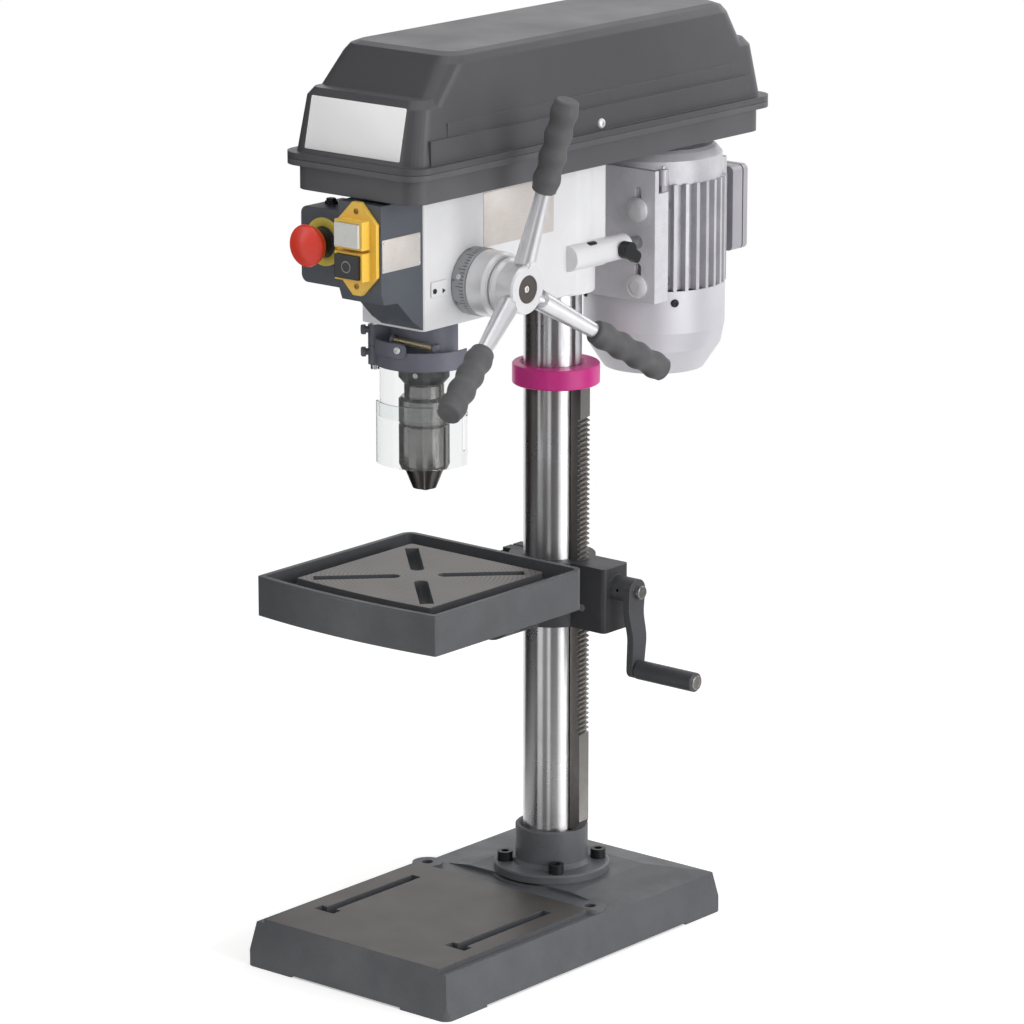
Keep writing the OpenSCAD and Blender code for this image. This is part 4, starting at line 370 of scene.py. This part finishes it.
# Clear polycarbonate: thin moulded sheet with a trace of grey. The real sheet's index is 1.58; a lower one
# bends less light at the edges, so that the chuck shows through as it should
polycarbonate = {"name": "clearPolycarbonate", "colour": "#f2f4f4", "ior": 1.4, "smearMm": 22,
                 "rough": (0.01, 0.06)}


def clearSheet(look):
    material, tree = newMaterial(look["name"])
    place = addNode(tree, "ShaderNodeTexCoord").outputs["Object"]
    smear = addNode(tree, "ShaderNodeTexNoise", {"Vector": place}, {"Scale": 1 / (look["smearMm"] * mm)})
    rough = addNode(tree, "ShaderNodeMapRange", {"Value": smear.outputs["Fac"]},
                    {"To Min": look["rough"][0], "To Max": look["rough"][1]})
    sheet = addNode(tree, "ShaderNodeBsdfPrincipled", {"Roughness": rough.outputs[0]},
                    {"Base Color": hexColour(look["colour"]), "Transmission Weight": 1.0, "IOR": look["ior"]})
    addNode(tree, "ShaderNodeOutputMaterial", {"Surface": sheet.outputs[0]})
    return material


dress(clearSheet(polycarbonate), "shield_upper", "shield_lower")
print("materials made:", len(bpy.data.materials))

# Modelling helpers for the small pieces that the castings carry
meshCare = {"creaseDeg": 35, "mergeMm": 0.005, "cornerSteps": 5, "edgeSteps": 2}


def begin():
    if bpy.context.mode != "OBJECT":
        bpy.ops.object.mode_set(mode="OBJECT")
    bpy.ops.object.select_all(action="DESELECT")


def pick(piece):
    begin()
    piece.select_set(True)
    bpy.context.view_layer.objects.active = piece


# a place on the machine in millimetres: z points out of the surface, y up along it
def facing(spot, out, up=upward):
    z = Vector(out).normalized()
    x = Vector(up).cross(z).normalized()
    return Matrix.Translation(Vector(spot) * mm) @ Matrix((x, z.cross(x), z)).transposed().to_4x4()


def placeOf(part):
    return facing(part["spot"], part["out"], part.get("up", upward))


# a level direction, so many degrees round an upright axis
def around(angle):
    return Vector((math.cos(math.radians(angle)), math.sin(math.radians(angle)), 0))


# a place on the side of a round piece that stands on an upright axis
def onRound(axis, part, angle):
    return facing(Vector((*axis, part["z"])) + around(angle) * part["radius"], around(angle))


# puts a modelled piece in its place, cleans its mesh and lets it ride on its body
def settle(piece, place, body, material, crease=meshCare["creaseDeg"]):
    pick(piece)
    piece.matrix_world = place
    bpy.ops.object.transform_apply(location=True, rotation=True, scale=True)
    bpy.ops.object.mode_set(mode="EDIT")
    bpy.ops.mesh.select_all(action="SELECT")
    bpy.ops.mesh.remove_doubles(threshold=meshCare["mergeMm"] * mm)
    bpy.ops.mesh.normals_make_consistent(inside=False)
    bpy.ops.object.mode_set(mode="OBJECT")
    bpy.ops.object.shade_smooth_by_angle(angle=math.radians(crease))
    piece.data.materials.clear()
    piece.data.materials.append(material)
    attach(piece, body)


def settleCopies(piece, places, body, material):
    twins = [piece]
    for _ in places[1:]:
        pick(piece)
        bpy.ops.object.duplicate()
        twins.append(bpy.context.object)
    name = piece.name
    for number, (twin, place) in enumerate(zip(twins, places), 1):
        twin.name = f"{name}{number}"
        settle(twin, place, body, material)


# a flat plate with round corners and a soft front edge
def roundedPlate(plate):
    begin()
    bpy.ops.mesh.primitive_plane_add(size=1)
    piece = bpy.context.object
    piece.name = plate["name"]
    wide, tall, thick = [side * mm for side in plate["size"]]
    bpy.ops.object.mode_set(mode="EDIT")
    bpy.ops.transform.resize(value=(wide, tall, 1), center_override=(0, 0, 0))
    bpy.ops.mesh.bevel(offset=plate["corner"] * mm, segments=meshCare["cornerSteps"], affect="VERTICES")
    bpy.ops.mesh.extrude_region_move(TRANSFORM_OT_translate={"value": (0, 0, thick)})
    bpy.ops.mesh.bevel(offset=plate["edge"] * mm, segments=meshCare["edgeSteps"], affect="EDGES")
    bpy.ops.object.mode_set(mode="OBJECT")
    return piece


# a flat ring, cut from a disc by an inset
def flatRing(ring):
    begin()
    outer, inner = [r * mm for r in ring["radii"]]
    bpy.ops.mesh.primitive_circle_add(vertices=ring["sides"], radius=outer, fill_type="NGON")
    piece = bpy.context.object
    piece.name = ring["name"]
    bpy.ops.object.mode_set(mode="EDIT")
    bpy.ops.mesh.inset(thickness=outer - inner)
    bpy.ops.mesh.delete(type="FACE")
    bpy.ops.mesh.select_all(action="SELECT")
    bpy.ops.mesh.extrude_region_move(TRANSFORM_OT_translate={"value": (0, 0, ring["thick"] * mm)})
    bpy.ops.mesh.region_to_loop()
    bpy.ops.mesh.bevel(offset=ring["edge"] * mm, segments=meshCare["edgeSteps"], affect="EDGES")
    bpy.ops.object.mode_set(mode="OBJECT")
    return piece


# a driver's recess: a hexagon, or one bar for a slot and two for a cross
def cutRecess(piece, recess):
    for turn in recess.get("bars", (0,)):
        begin()
        if "bars" in recess:
            bpy.ops.mesh.primitive_cube_add(size=1)
            size = (recess["long"], recess["wide"], 2 * recess["depth"])
        else:
            bpy.ops.mesh.primitive_cylinder_add(vertices=6, radius=1, depth=1)
            size = (recess["hex"], recess["hex"], 2 * recess["depth"])
        cutter = bpy.context.object
        bpy.ops.object.mode_set(mode="EDIT")
        bpy.ops.transform.resize(value=[side * mm for side in size], center_override=(0, 0, 0))
        bpy.ops.transform.rotate(value=math.radians(turn), orient_axis="Z", center_override=(0, 0, 0))
        bpy.ops.transform.translate(value=(0, 0, recess["top"] * mm))
        pick(piece)
        bpy.ops.object.modifier_add(type="BOOLEAN")
        cut = piece.modifiers[-1]
        cut.operation = "DIFFERENCE"
        cut.object = cutter
        bpy.ops.object.modifier_apply(modifier=cut.name)
        bpy.data.objects.remove(cutter)


# a piece from the lathe: its outline is a list of (radius, height), from foot to top
def turned(part):
    begin()
    radius, height = part["outline"][0]
    bpy.ops.mesh.primitive_circle_add(vertices=part.get("sides", 40), radius=radius * mm, fill_type="NGON")
    piece = bpy.context.object
    piece.name = part["name"]
    bpy.ops.object.mode_set(mode="EDIT")
    bpy.ops.transform.translate(value=(0, 0, height * mm))
    for r, z in part["outline"][1:]:
        bpy.ops.mesh.extrude_region_move(TRANSFORM_OT_translate={"value": (0, 0, (z - height) * mm)})
        bpy.ops.transform.resize(value=(r / radius, r / radius, 1), center_override=(0, 0, z * mm))
        radius, height = r, z
    bpy.ops.object.mode_set(mode="OBJECT")
    if "recess" in part:
        cutRecess(piece, part["recess"])
    return piece


# Wound tension spring of the guard: bright wire with a brassy tint, curl by curl
springWire = dict(turnedSteel, name="springBrassedWire", colour="#c9c0a6", tone="#a79c80", rough=(0.22, 0.32))
guardSpring = {"name": "guardSpring", "start": (-1.5, -172.07, 658.0), "end": (33.96, -155.53, 651.5),
               "coil": 3.0, "wire": 0.55, "curls": 24, "steps": 14, "sides": 8, "creaseDeg": 60}
begin()
bpy.ops.mesh.primitive_circle_add(vertices=guardSpring["sides"], radius=guardSpring["wire"] * mm)
spring = bpy.context.object
spring.name = guardSpring["name"]
bpy.ops.object.mode_set(mode="EDIT")
bpy.ops.transform.rotate(value=math.pi / 2, orient_axis="X", center_override=(0, 0, 0))
bpy.ops.transform.translate(value=(guardSpring["coil"] * mm, 0, 0))
bpy.ops.object.mode_set(mode="OBJECT")
run = Vector(guardSpring["end"]) - Vector(guardSpring["start"])
bpy.ops.object.modifier_add(type="SCREW")
winding = spring.modifiers[-1]
winding.steps = winding.render_steps = guardSpring["steps"]
winding.iterations = guardSpring["curls"]
winding.screw_offset = run.length * mm / guardSpring["curls"]
bpy.ops.object.modifier_apply(modifier=winding.name)
bpy.ops.object.mode_set(mode="EDIT")
bpy.ops.mesh.select_all(action="SELECT")
bpy.ops.mesh.fill_holes(sides=0)
settle(spring, facing(guardSpring["start"], run), "frame", makeFinish(springWire),
       guardSpring["creaseDeg"])
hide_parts("guard_spring")

# Bare labels: white satin film on the hood, and thin aluminium plates, warm grey with a fine brush, on the
# switch box and the head
labelFilm = {"name": "satinLabelFilm", "colour": "#fcfcfc", "tone": "#f8f8f9", "blotchMm": 40, "grainMm": 1.2,
             "depthMm": 0.01, "speck": 0.01, "rough": (0.3, 0.38), "edgeMm": 0.3}
plateAlloy = dict(labelFilm, name="brushedAluminiumPlate", colour="#d9d3cf", tone="#cdc6c1", grainMm=0.8,
                  stretch=(1, 0.05, 1), speck=0.04, metallic=0.35, rough=(0.36, 0.46))
hoodLabel = {"name": "hoodLabel", "size": (122, 52, 0.5), "corner": 1.5, "edge": 0.2,
             "spot": (0, -228.4, 876), "out": (0, -64.7, 14.46)}
typePlate = {"name": "typePlate", "size": (56, 32.5, 0.6), "corner": 1.2, "edge": 0.25,
             "spot": (41, -209.5, 756.2), "out": toRight}
noticePlate = {"name": "noticePlate", "size": (109, 55, 0.5), "corner": 1.2, "edge": 0.2,
               "spot": (41, -31.5, 769.5), "out": toRight}
settle(roundedPlate(hoodLabel), placeOf(hoodLabel), "hood", makeFinish(labelFilm))
plateSkin = makeFinish(plateAlloy)
for plate in (typePlate, noticePlate):
    settle(roundedPlate(plate), placeOf(plate), "frame", plateSkin)

# Small fasteners: bright rivets, a pan-head screw on the hood, dull yellow brass screws in the switch plate
brassScrew = dict(turnedSteel, name="brassScrew", colour="#b08a4c", tone="#8f6c36", rough=(0.28, 0.4))
rivet = {"name": "plateRivet", "outline": [(1.5, 0), (1.5, 0.4), (1.25, 0.9), (0.8, 1.2), (0.3, 1.3)],
         "sides": 20, "x": 41.5, "ys": (-184, -235), "zs": (743, 769.5)}
settleCopies(turned(rivet), [facing((rivet["x"], y, z), toRight) for y in rivet["ys"] for z in rivet["zs"]],
             "frame", zincSkin)
hoodScrew = {"name": "hoodScrew", "outline": [(5.2, 0), (5.2, 1.0), (4.6, 2.2), (3.2, 3.0), (1.2, 3.4)],
             "recess": {"bars": (0, 90), "long": 4.4, "wide": 1.1, "depth": 1.6, "top": 3.4},
             "spot": (82.8, 46, 853), "out": toRight}
settle(turned(hoodScrew), placeOf(hoodScrew), "hood", zincSkin)
switchLine = 14              # x of the middle of the switch plate
plateScrew = {"name": "plateScrew", "outline": [(2.9, -0.6), (2.9, 0.3), (2.5, 0.7), (1.6, 0.9)],
              "recess": {"bars": (45, 135), "long": 3.2, "wide": 0.8, "depth": 0.7, "top": 0.9},
              "y": -244.1, "zs": (799, 725)}
settleCopies(turned(plateScrew),
             [facing((switchLine, plateScrew["y"], z), toFront) for z in plateScrew["zs"]],
             "frame", makeFinish(brassScrew))

# Marks of the switches, in printed ink, flat and even: an upright bar and a ring, raised a little
startInk = dict(whiteAbs, name="printedWhiteMark", colour="#f4f4f2", tone="#efefec")
stopInk = dict(whiteAbs, name="printedGreyMark", colour="#8d8e90", tone="#858688")
startMark = {"name": "startMark", "size": (1.6, 11, 0.25), "corner": 0.3, "edge": 0.08,
             "spot": (switchLine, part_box("start_button")[0].y / mm, 777.5), "out": toFront}
stopMark = {"name": "stopMark", "radii": (6.0, 4.7), "sides": 64, "thick": 0.25, "edge": 0.08,
            "spot": (switchLine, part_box("stop_button")[0].y / mm, 746.5), "out": toFront}
settle(roundedPlate(startMark), placeOf(startMark), "start", makeFinish(startInk))
settle(flatRing(stopMark), placeOf(stopMark), "stop", makeFinish(stopInk))

# Yellow disc under the emergency stop, its printed yellow dulled towards olive by painted shade, and a cable
# gland on top of its box
# the disc's colour is its yellow print darkened with painted shade
discInkWithPaintedShade = dict(yellowAbs, name="printedYellowDisc", colour="#d2c250", tone="#c7b746")
estopDisc = {"name": "estopDisc", "radii": (24.0, 15.4), "sides": 64, "thick": 1.0, "edge": 0.3,
             "spot": (-40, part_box("estop_box")[0].y / mm, 760), "out": toFront}
glandNut = {"name": "boxGland", "sides": 6,
            "outline": [(6.5, -0.2), (6.5, 2.0), (5.2, 2.6), (5.2, 4.4), (4.2, 5.2)],
            "spot": (-53, -205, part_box("estop_box")[1].z / mm), "out": upward, "up": toBack}
settle(flatRing(estopDisc), placeOf(estopDisc), "frame", makeFinish(discInkWithPaintedShade))
settle(turned(glandNut), placeOf(glandNut), "frame", blackSkin)

# Depth pointer beside the dial: cast pad, its screw and a black arrow
depthPointer = {"name": "depthPointer", "size": (25, 16, 1.6), "corner": 1.5, "edge": 0.6,
                "spot": (41, -154, 712), "out": toRight}
pointerScrew = {"name": "pointerScrew", "sides": 24,
                "outline": [(2.6, 0), (2.6, 0.8), (2.2, 1.3), (1.0, 1.5)],
                "recess": {"bars": (20,), "long": 5.5, "wide": 0.7, "depth": 0.6, "top": 1.5},
                "spot": (42.5, -161.7, 710.5), "out": toRight}
pointerArrow = {"name": "pointerArrow", "sides": 3, "outline": [(3.0, 0), (3.0, 0.25), (2.8, 0.35)],
                "spot": (42.6, -148.5, 709.2), "out": toRight, "up": toBack}
settle(roundedPlate(depthPointer), placeOf(depthPointer), "frame", coatSkin)
settle(turned(pointerScrew), placeOf(pointerScrew), "frame", oxideSkin)
settle(turned(pointerArrow), placeOf(pointerArrow), "frame", blackSkin)

# Dial: numbers each ten millimetres of feed, and the clamp screw of its ring
dial = {"name": "dialNumbers", "radius": 34, "x": 44.4, "height": 3.6, "sizePerHeight": 1.35, "raised": 0.12,
        "zeroAt": 170, "feedStep": 10, "feedPerTurn": 56.5, "steps": 6}
numbers = []
for step in range(dial["steps"]):
    begin()
    bpy.ops.object.text_add()
    figure = bpy.context.object
    figure.data.body = str(dial["feedStep"] * step)
    figure.data.size = dial["height"] * mm * dial["sizePerHeight"]
    figure.data.align_x, figure.data.align_y = "CENTER", "CENTER"
    figure.data.extrude = dial["raised"] * mm
    bpy.ops.object.convert(target="MESH")
    angle = math.radians(dial["zeroAt"]) - 2 * math.pi * dial["feedStep"] * step / dial["feedPerTurn"]
    out = Vector((0, math.cos(angle), math.sin(angle)))
    figure.matrix_world = facing(Vector((dial["x"], *feedAxis)) + out * dial["radius"], out, toLeft)
    numbers.append(figure)
begin()
for figure in numbers:
    figure.select_set(True)
bpy.context.view_layer.objects.active = numbers[0]
bpy.ops.object.transform_apply(location=True, rotation=True, scale=True)
bpy.ops.object.join()
numbers[0].name = dial["name"]
settle(numbers[0], Matrix.Identity(4), "dial", blackSkin)
dialScrew = {"name": "dialScrew", "outline": [(2.6, -0.5), (2.6, 0.5), (2.2, 0.9), (1.8, 1.0)], "sides": 28,
             "recess": {"hex": 1.2, "depth": 1.0, "top": 1.0}, "x": 50, "out": (0, -35.8, 10.7)}
out = Vector(dialScrew["out"]).normalized()
settle(turned(dialScrew), facing(Vector((dialScrew["x"], *feedAxis)) + out * dial["radius"], out, toRight),
       "dial", zincSkin)

# Screws of the feed hub and the quill collar
hubScrew = {"name": "hubScrew", "outline": [(3.7, 0), (3.7, 1.4), (3.3, 1.9), (2.6, 2.0)],
            "recess": {"hex": 1.9, "depth": 1.3, "top": 2.0}, "sunk": 2.3}
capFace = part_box("hub_cap")[1].x / mm
settle(turned(hubScrew), facing((capFace - hubScrew["sunk"], *feedAxis), toRight), "feed", zincSkin)
collarScrew = {"name": "collarScrew", "outline": [(2.9, -2.5), (2.9, -0.4), (2.4, 0)], "sides": 28,
               "recess": {"hex": 1.4, "depth": 1.4, "top": 0}, "angle": -70, "z": 619, "radius": 24.6}
settle(turned(collarScrew), onRound(spindleAxis, collarScrew, collarScrew["angle"]), "quill_unit",
       zincSkin)
print("labels, marks and screws made")

# Guard's hinge: a curved tab round the band, two knobs and a bright bolt
guardTab = {"name": "guardTab", "radius": 49.9, "thick": 2.2, "low": 641, "high": 656,
            "from": 238, "to": 290, "steps": 7, "corner": 5, "nearDeg": 0.1, "shortest": 1.1}
begin()
bpy.ops.mesh.primitive_plane_add(size=1)
tab = bpy.context.object
tab.name = guardTab["name"]
tabHigh = guardTab["high"] - guardTab["low"]
tabSweep = guardTab["to"] - guardTab["from"]
bpy.ops.object.mode_set(mode="EDIT")
bpy.ops.transform.resize(value=(guardTab["thick"] * mm, tabHigh * mm, 1), center_override=(0, 0, 0))
bpy.ops.transform.rotate(value=math.pi / 2, orient_axis="X", center_override=(0, 0, 0))
bpy.ops.transform.translate(value=(guardTab["radius"] * mm, 0, 0))
bpy.ops.mesh.delete(type="ONLY_FACE")
bpy.ops.mesh.select_all(action="SELECT")
bpy.ops.mesh.spin(steps=guardTab["steps"], angle=math.radians(tabSweep), center=(0, 0, 0), axis=(0, 0, 1))
bpy.ops.mesh.select_all(action="SELECT")
bpy.ops.mesh.fill_holes(sides=0)
bpy.ops.mesh.select_mode(type="EDGE")
bpy.ops.mesh.select_all(action="DESELECT")
drawn = bmesh.from_edit_mesh(tab.data)
for edge in drawn.edges:             # the short edges at both ends
    middle = (edge.verts[0].co + edge.verts[1].co) / 2
    along = math.degrees(abs(math.atan2(middle.y, middle.x)))
    atEnd = min(along, abs(along - tabSweep)) < guardTab["nearDeg"]
    edge.select_set(atEnd and edge.calc_length() < guardTab["shortest"] * guardTab["thick"] * mm)
bmesh.update_edit_mesh(tab.data)
bpy.ops.mesh.bevel(offset=guardTab["corner"] * mm, segments=meshCare["cornerSteps"], affect="EDGES")
turnTab = Matrix.Rotation(math.radians(guardTab["to"]), 4, "Z")
tabMiddle = Vector((*spindleAxis, guardTab["low"] + tabHigh / 2))
settle(tab, Matrix.Translation(tabMiddle * mm) @ turnTab, "guard", guardSkin)
hingeKnob = {"name": "hingeKnob", "outline": [(3.4, 0), (3.4, 5.5), (5.0, 5.5), (5.0, 9.0), (4.2, 10.0)],
             "sides": 32, "recess": {"bars": (35,), "long": 7, "wide": 1.0, "depth": 0.8, "top": 10},
             "hinge": (-32.5, -165.1), "ahead": 4, "heights": {"guard": 640.5, "frame": 663.0}}
out = (Vector(hingeKnob["hinge"]) - Vector(spindleAxis)).normalized().to_3d()
for body, z in hingeKnob["heights"].items():
    knob = turned(dict(hingeKnob, name=f"{hingeKnob['name']}_{body}"))
    foot = Vector((*hingeKnob["hinge"], z)) + out * hingeKnob["ahead"]
    settle(knob, facing(foot, out), body, guardSkin)
hingeBolt = {"name": "hingeBolt", "outline": [(3.6, 0), (3.6, 1.0), (3.0, 2.0), (1.8, 2.6)], "sides": 32,
             "recess": {"bars": (10, 100), "long": 3.4, "wide": 0.8, "depth": 1.0, "top": 2.6},
             "angle": 279.5, "z": 649.5, "radius": 50.8}
settle(turned(hingeBolt), onRound(spindleAxis, hingeBolt, hingeBolt["angle"]), "guard", zincSkin)

# Screws of the motor: four round the fan cover, four on the end cap's lugs, four in the terminal lid
coverScrew = {"name": "coverScrew", "outline": [(4.2, -1.0), (4.2, 0.9), (3.5, 1.9), (2.2, 2.4)],
              "recess": {"hex": 1.9, "depth": 1.5, "top": 2.4},
              "angles": (325, 55, 145, 235), "z": 642, "radius": 74}
settleCopies(turned(coverScrew), [onRound(motorAxis, coverScrew, angle) for angle in coverScrew["angles"]],
             "motor", oxideSkin)
tieScrew = {"name": "tieScrew", "sides": 6, "outline": [(5.0, 0), (5.0, 2.8), (4.4, 3.4)],
            "angles": (45, 135, 225, 315), "z": 782, "radius": 66}
tiePlaces = []
for angle in tieScrew["angles"]:
    foot = Vector((*motorAxis, tieScrew["z"])) + around(angle) * tieScrew["radius"]
    tiePlaces.append(facing(foot, upward, around(angle)))
settleCopies(turned(tieScrew), tiePlaces, "motor", zincSkin)
lidScrew = {"name": "lidScrew", "outline": [(3.6, 0), (3.6, 0.7), (3.0, 1.6), (1.8, 2.1)],
            "recess": {"bars": (0, 90), "long": 3.6, "wide": 0.8, "depth": 1.0, "top": 2.1},
            "xs": (-38, 38), "zs": (683, 759)}
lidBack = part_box("terminal_box")[1].y / mm
settleCopies(turned(lidScrew),
             [facing((x, lidBack, z), toBack) for x in lidScrew["xs"] for z in lidScrew["zs"]],
             "motor", zincSkin)

# Crank: slotted end of the worm shaft and the bright rivet end of the grip
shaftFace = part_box("worm_shaft")[1].x / mm
gripLow, gripHigh = [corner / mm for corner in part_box("crank_grip")]
gripMid = (gripLow + gripHigh) / 2
shaftEnd = {"name": "shaftEnd", "outline": [(6.9, -1.0), (6.9, 6.2), (6.3, 6.8)],
            "recess": {"bars": (60,), "long": 15, "wide": 1.6, "depth": 0.9, "top": 6.8},
            "spot": (shaftFace, 72, 369.1), "out": toRight}
gripEnd = {"name": "gripEnd",
           "outline": [(7.4, -1.0), (7.4, 0.6), (6.6, 1.4), (4.6, 1.4), (4.4, 1.0), (2.0, 1.0)],
           "spot": (gripHigh.x, gripMid.y, gripMid.z), "out": toRight}
settle(turned(shaftEnd), placeOf(shaftEnd), "crank", milledSkin)
settle(turned(gripEnd), placeOf(gripEnd), "crank_handle", milledSkin)

# Head: dark plug on the slide bar's boss, nut and stud on the return spring's cup
bossPlug = {"name": "bossPlug", "size": (13, 5.4, 1.4), "corner": 2.4, "edge": 0.5,
            "spot": (47.0, 77, 721.3), "out": (0.42, 0, 0.9), "up": (-0.9, 0, 0.42)}
settle(roundedPlate(bossPlug), placeOf(bossPlug), "frame", oxideSkin)
cupNut = {"name": "cupNut", "sides": 6, "outline": [(9.4, 0), (9.4, 5.2), (8.6, 6.0)]}
cupStud = {"name": "cupStud", "outline": [(4.8, 0), (4.8, 9.0), (4.0, 9.8)]}
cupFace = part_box("spring_housing")[0].x / mm
for part in (cupNut, cupStud):
    settle(turned(part), facing((cupFace, *feedAxis), toLeft), "frame", zincSkin)
print("guard, motor and crank details made")

# The studio: pale floor, soft lamps and a camera at the photograph's angle
stage = {"floorSize": 24.0, "floorTone": "#f1f1f0", "lift": 0.42, "fade": (0.7, 2.0), "white": 1.0,
         "fill": 0.42}


# 1 for the rays that show the studio itself, 0 for those that only light the machine
def seenBy(tree, first, *others):
    rays = addNode(tree, "ShaderNodeLightPath")
    seen = rays.outputs[first]
    for kind in others:
        seen = addNode(tree, "ShaderNodeMath", {0: seen, 1: rays.outputs[kind]},
                       operation="MAXIMUM").outputs[0]
    return seen


world = bpy.data.worlds.new("studio")
world.use_nodes = True
bpy.context.scene.world = world
tree = world.node_tree
tree.nodes.clear()
seen = seenBy(tree, "Is Camera Ray", "Is Glossy Ray", "Is Transmission Ray")
level = addNode(tree, "ShaderNodeMapRange", {"Value": seen},
                {"To Min": stage["fill"], "To Max": stage["white"]})
sky = addNode(tree, "ShaderNodeBackground", {"Strength": level.outputs[0]}, {"Color": (1, 1, 1, 1)})
addNode(tree, "ShaderNodeOutputWorld", {"Surface": sky.outputs[0]})

bpy.ops.object.select_all(action="DESELECT")
bpy.ops.mesh.primitive_plane_add(size=stage["floorSize"])
floor = bpy.context.object
floor.name = "floor"
floorPaint, tree = newMaterial("paleFloor")      # keeps the shadow near the machine and fades to white
seen = seenBy(tree, "Is Camera Ray", "Is Glossy Ray")
glow = addNode(tree, "ShaderNodeMath", {0: seen}, {1: stage["lift"]}, operation="MULTIPLY")
lit = addNode(tree, "ShaderNodeBsdfDiffuse", values={"Color": hexColour(stage["floorTone"])})
lifted = addNode(tree, "ShaderNodeEmission", {"Strength": glow.outputs[0]})
near = addNode(tree, "ShaderNodeAddShader", {0: lit.outputs[0], 1: lifted.outputs[0]})
far = addNode(tree, "ShaderNodeEmission", values={"Strength": stage["white"]})
spot = addNode(tree, "ShaderNodeTexCoord").outputs["Object"]
away = addNode(tree, "ShaderNodeVectorMath", {0: spot}, operation="LENGTH").outputs["Value"]
fade = addNode(tree, "ShaderNodeMapRange", {"Value": away},
               {"From Min": stage["fade"][0], "From Max": stage["fade"][1]}, interpolation_type="SMOOTHSTEP")
shown = addNode(tree, "ShaderNodeMath", {0: fade.outputs[0], 1: seen}, operation="MULTIPLY")
ground = addNode(tree, "ShaderNodeMixShader", {0: shown.outputs[0], 1: near.outputs[0], 2: far.outputs[0]})
addNode(tree, "ShaderNodeOutputMaterial", {"Surface": ground.outputs[0]})
floor.data.materials.append(floorPaint)

camera = {"target": (-0.0319, 0.0454, 0.4343), "azimuth": 39.845, "elevation": 14.547, "distance": 5.1377,
          "lens": 175.2, "sensor": 36}
turn, rise = math.radians(camera["azimuth"]), math.radians(camera["elevation"])
target = Vector(camera["target"])
sightLine = Vector((math.sin(turn) * math.cos(rise), -math.cos(turn) * math.cos(rise), math.sin(rise)))
bpy.ops.object.camera_add(location=target + sightLine * camera["distance"])
eye = bpy.context.object
eye.rotation_euler = (-sightLine).to_track_quat("-Z", "Y").to_euler()
eye.data.lens = camera["lens"]
eye.data.sensor_width = camera["sensor"]
bpy.context.scene.camera = eye

# Dark and grey boards in arcs round the column, in degrees from the camera's side. Only reflections show them
boards = [{"name": "leftBoard", "from": -134, "to": -57, "tone": "#2a2624"},
          {"name": "slimBoard", "from": -36, "to": -20, "tone": "#a5a4a3"},
          {"name": "middleBoard", "from": -7, "to": 24, "tone": "#6e6c6b"},
          {"name": "rightBoard", "from": 77, "to": 101, "tone": "#4a4644"}]
boardRoom = {"axis": (0, 0.072), "radius": 0.45, "high": 2.2, "sides": 120}
for board in boards:
    begin()
    bpy.ops.mesh.primitive_cylinder_add(vertices=boardRoom["sides"], radius=boardRoom["radius"],
                                        depth=boardRoom["high"], end_fill_type="NOTHING",
                                        location=(*boardRoom["axis"], boardRoom["high"] / 2))
    card = bpy.context.object
    card.name = board["name"]
    bpy.ops.object.mode_set(mode="EDIT")
    sheet = bmesh.from_edit_mesh(card.data)
    for face in sheet.faces:
        middle = face.calc_center_median()
        aside = math.degrees(math.atan2(middle.x, -middle.y)) - camera["azimuth"]
        face.select_set(not board["from"] < (aside + 180) % 360 - 180 < board["to"])
    bmesh.update_edit_mesh(card.data)
    bpy.ops.mesh.delete(type="FACE")
    bpy.ops.object.mode_set(mode="OBJECT")
    paint, tree = newMaterial(board["name"] + "Paint")
    glow = addNode(tree, "ShaderNodeEmission", values={"Color": hexColour(board["tone"])})
    addNode(tree, "ShaderNodeOutputMaterial", {"Surface": glow.outputs[0]})
    card.data.materials.append(paint)
    card.visible_camera = card.visible_diffuse = card.visible_shadow = card.visible_transmission = False

lamps = [{"name": "overhead", "place": (0.2, -0.3, 3.0), "size": 2.6, "watts": 24},
         {"name": "frontLeft", "place": (-2.4, -2.6, 2.0), "size": 2.0, "watts": 18},
         {"name": "right", "place": (3.2, 0.1, 1.2), "size": 2.0, "watts": 62},
         {"name": "behind", "place": (0.6, 3.0, 2.2), "size": 2.0, "watts": 14}]
for lamp in lamps:
    bpy.ops.object.light_add(type="AREA", location=lamp["place"])
    light = bpy.context.object
    light.name = lamp["name"]
    light.data.size = lamp["size"]
    light.data.energy = lamp["watts"]
    light.rotation_euler = (target - light.location).to_track_quat("-Z", "Y").to_euler()
bpy.context.scene.view_settings.view_transform = "Standard"
print("studio ready with", len(lamps), "lamps")
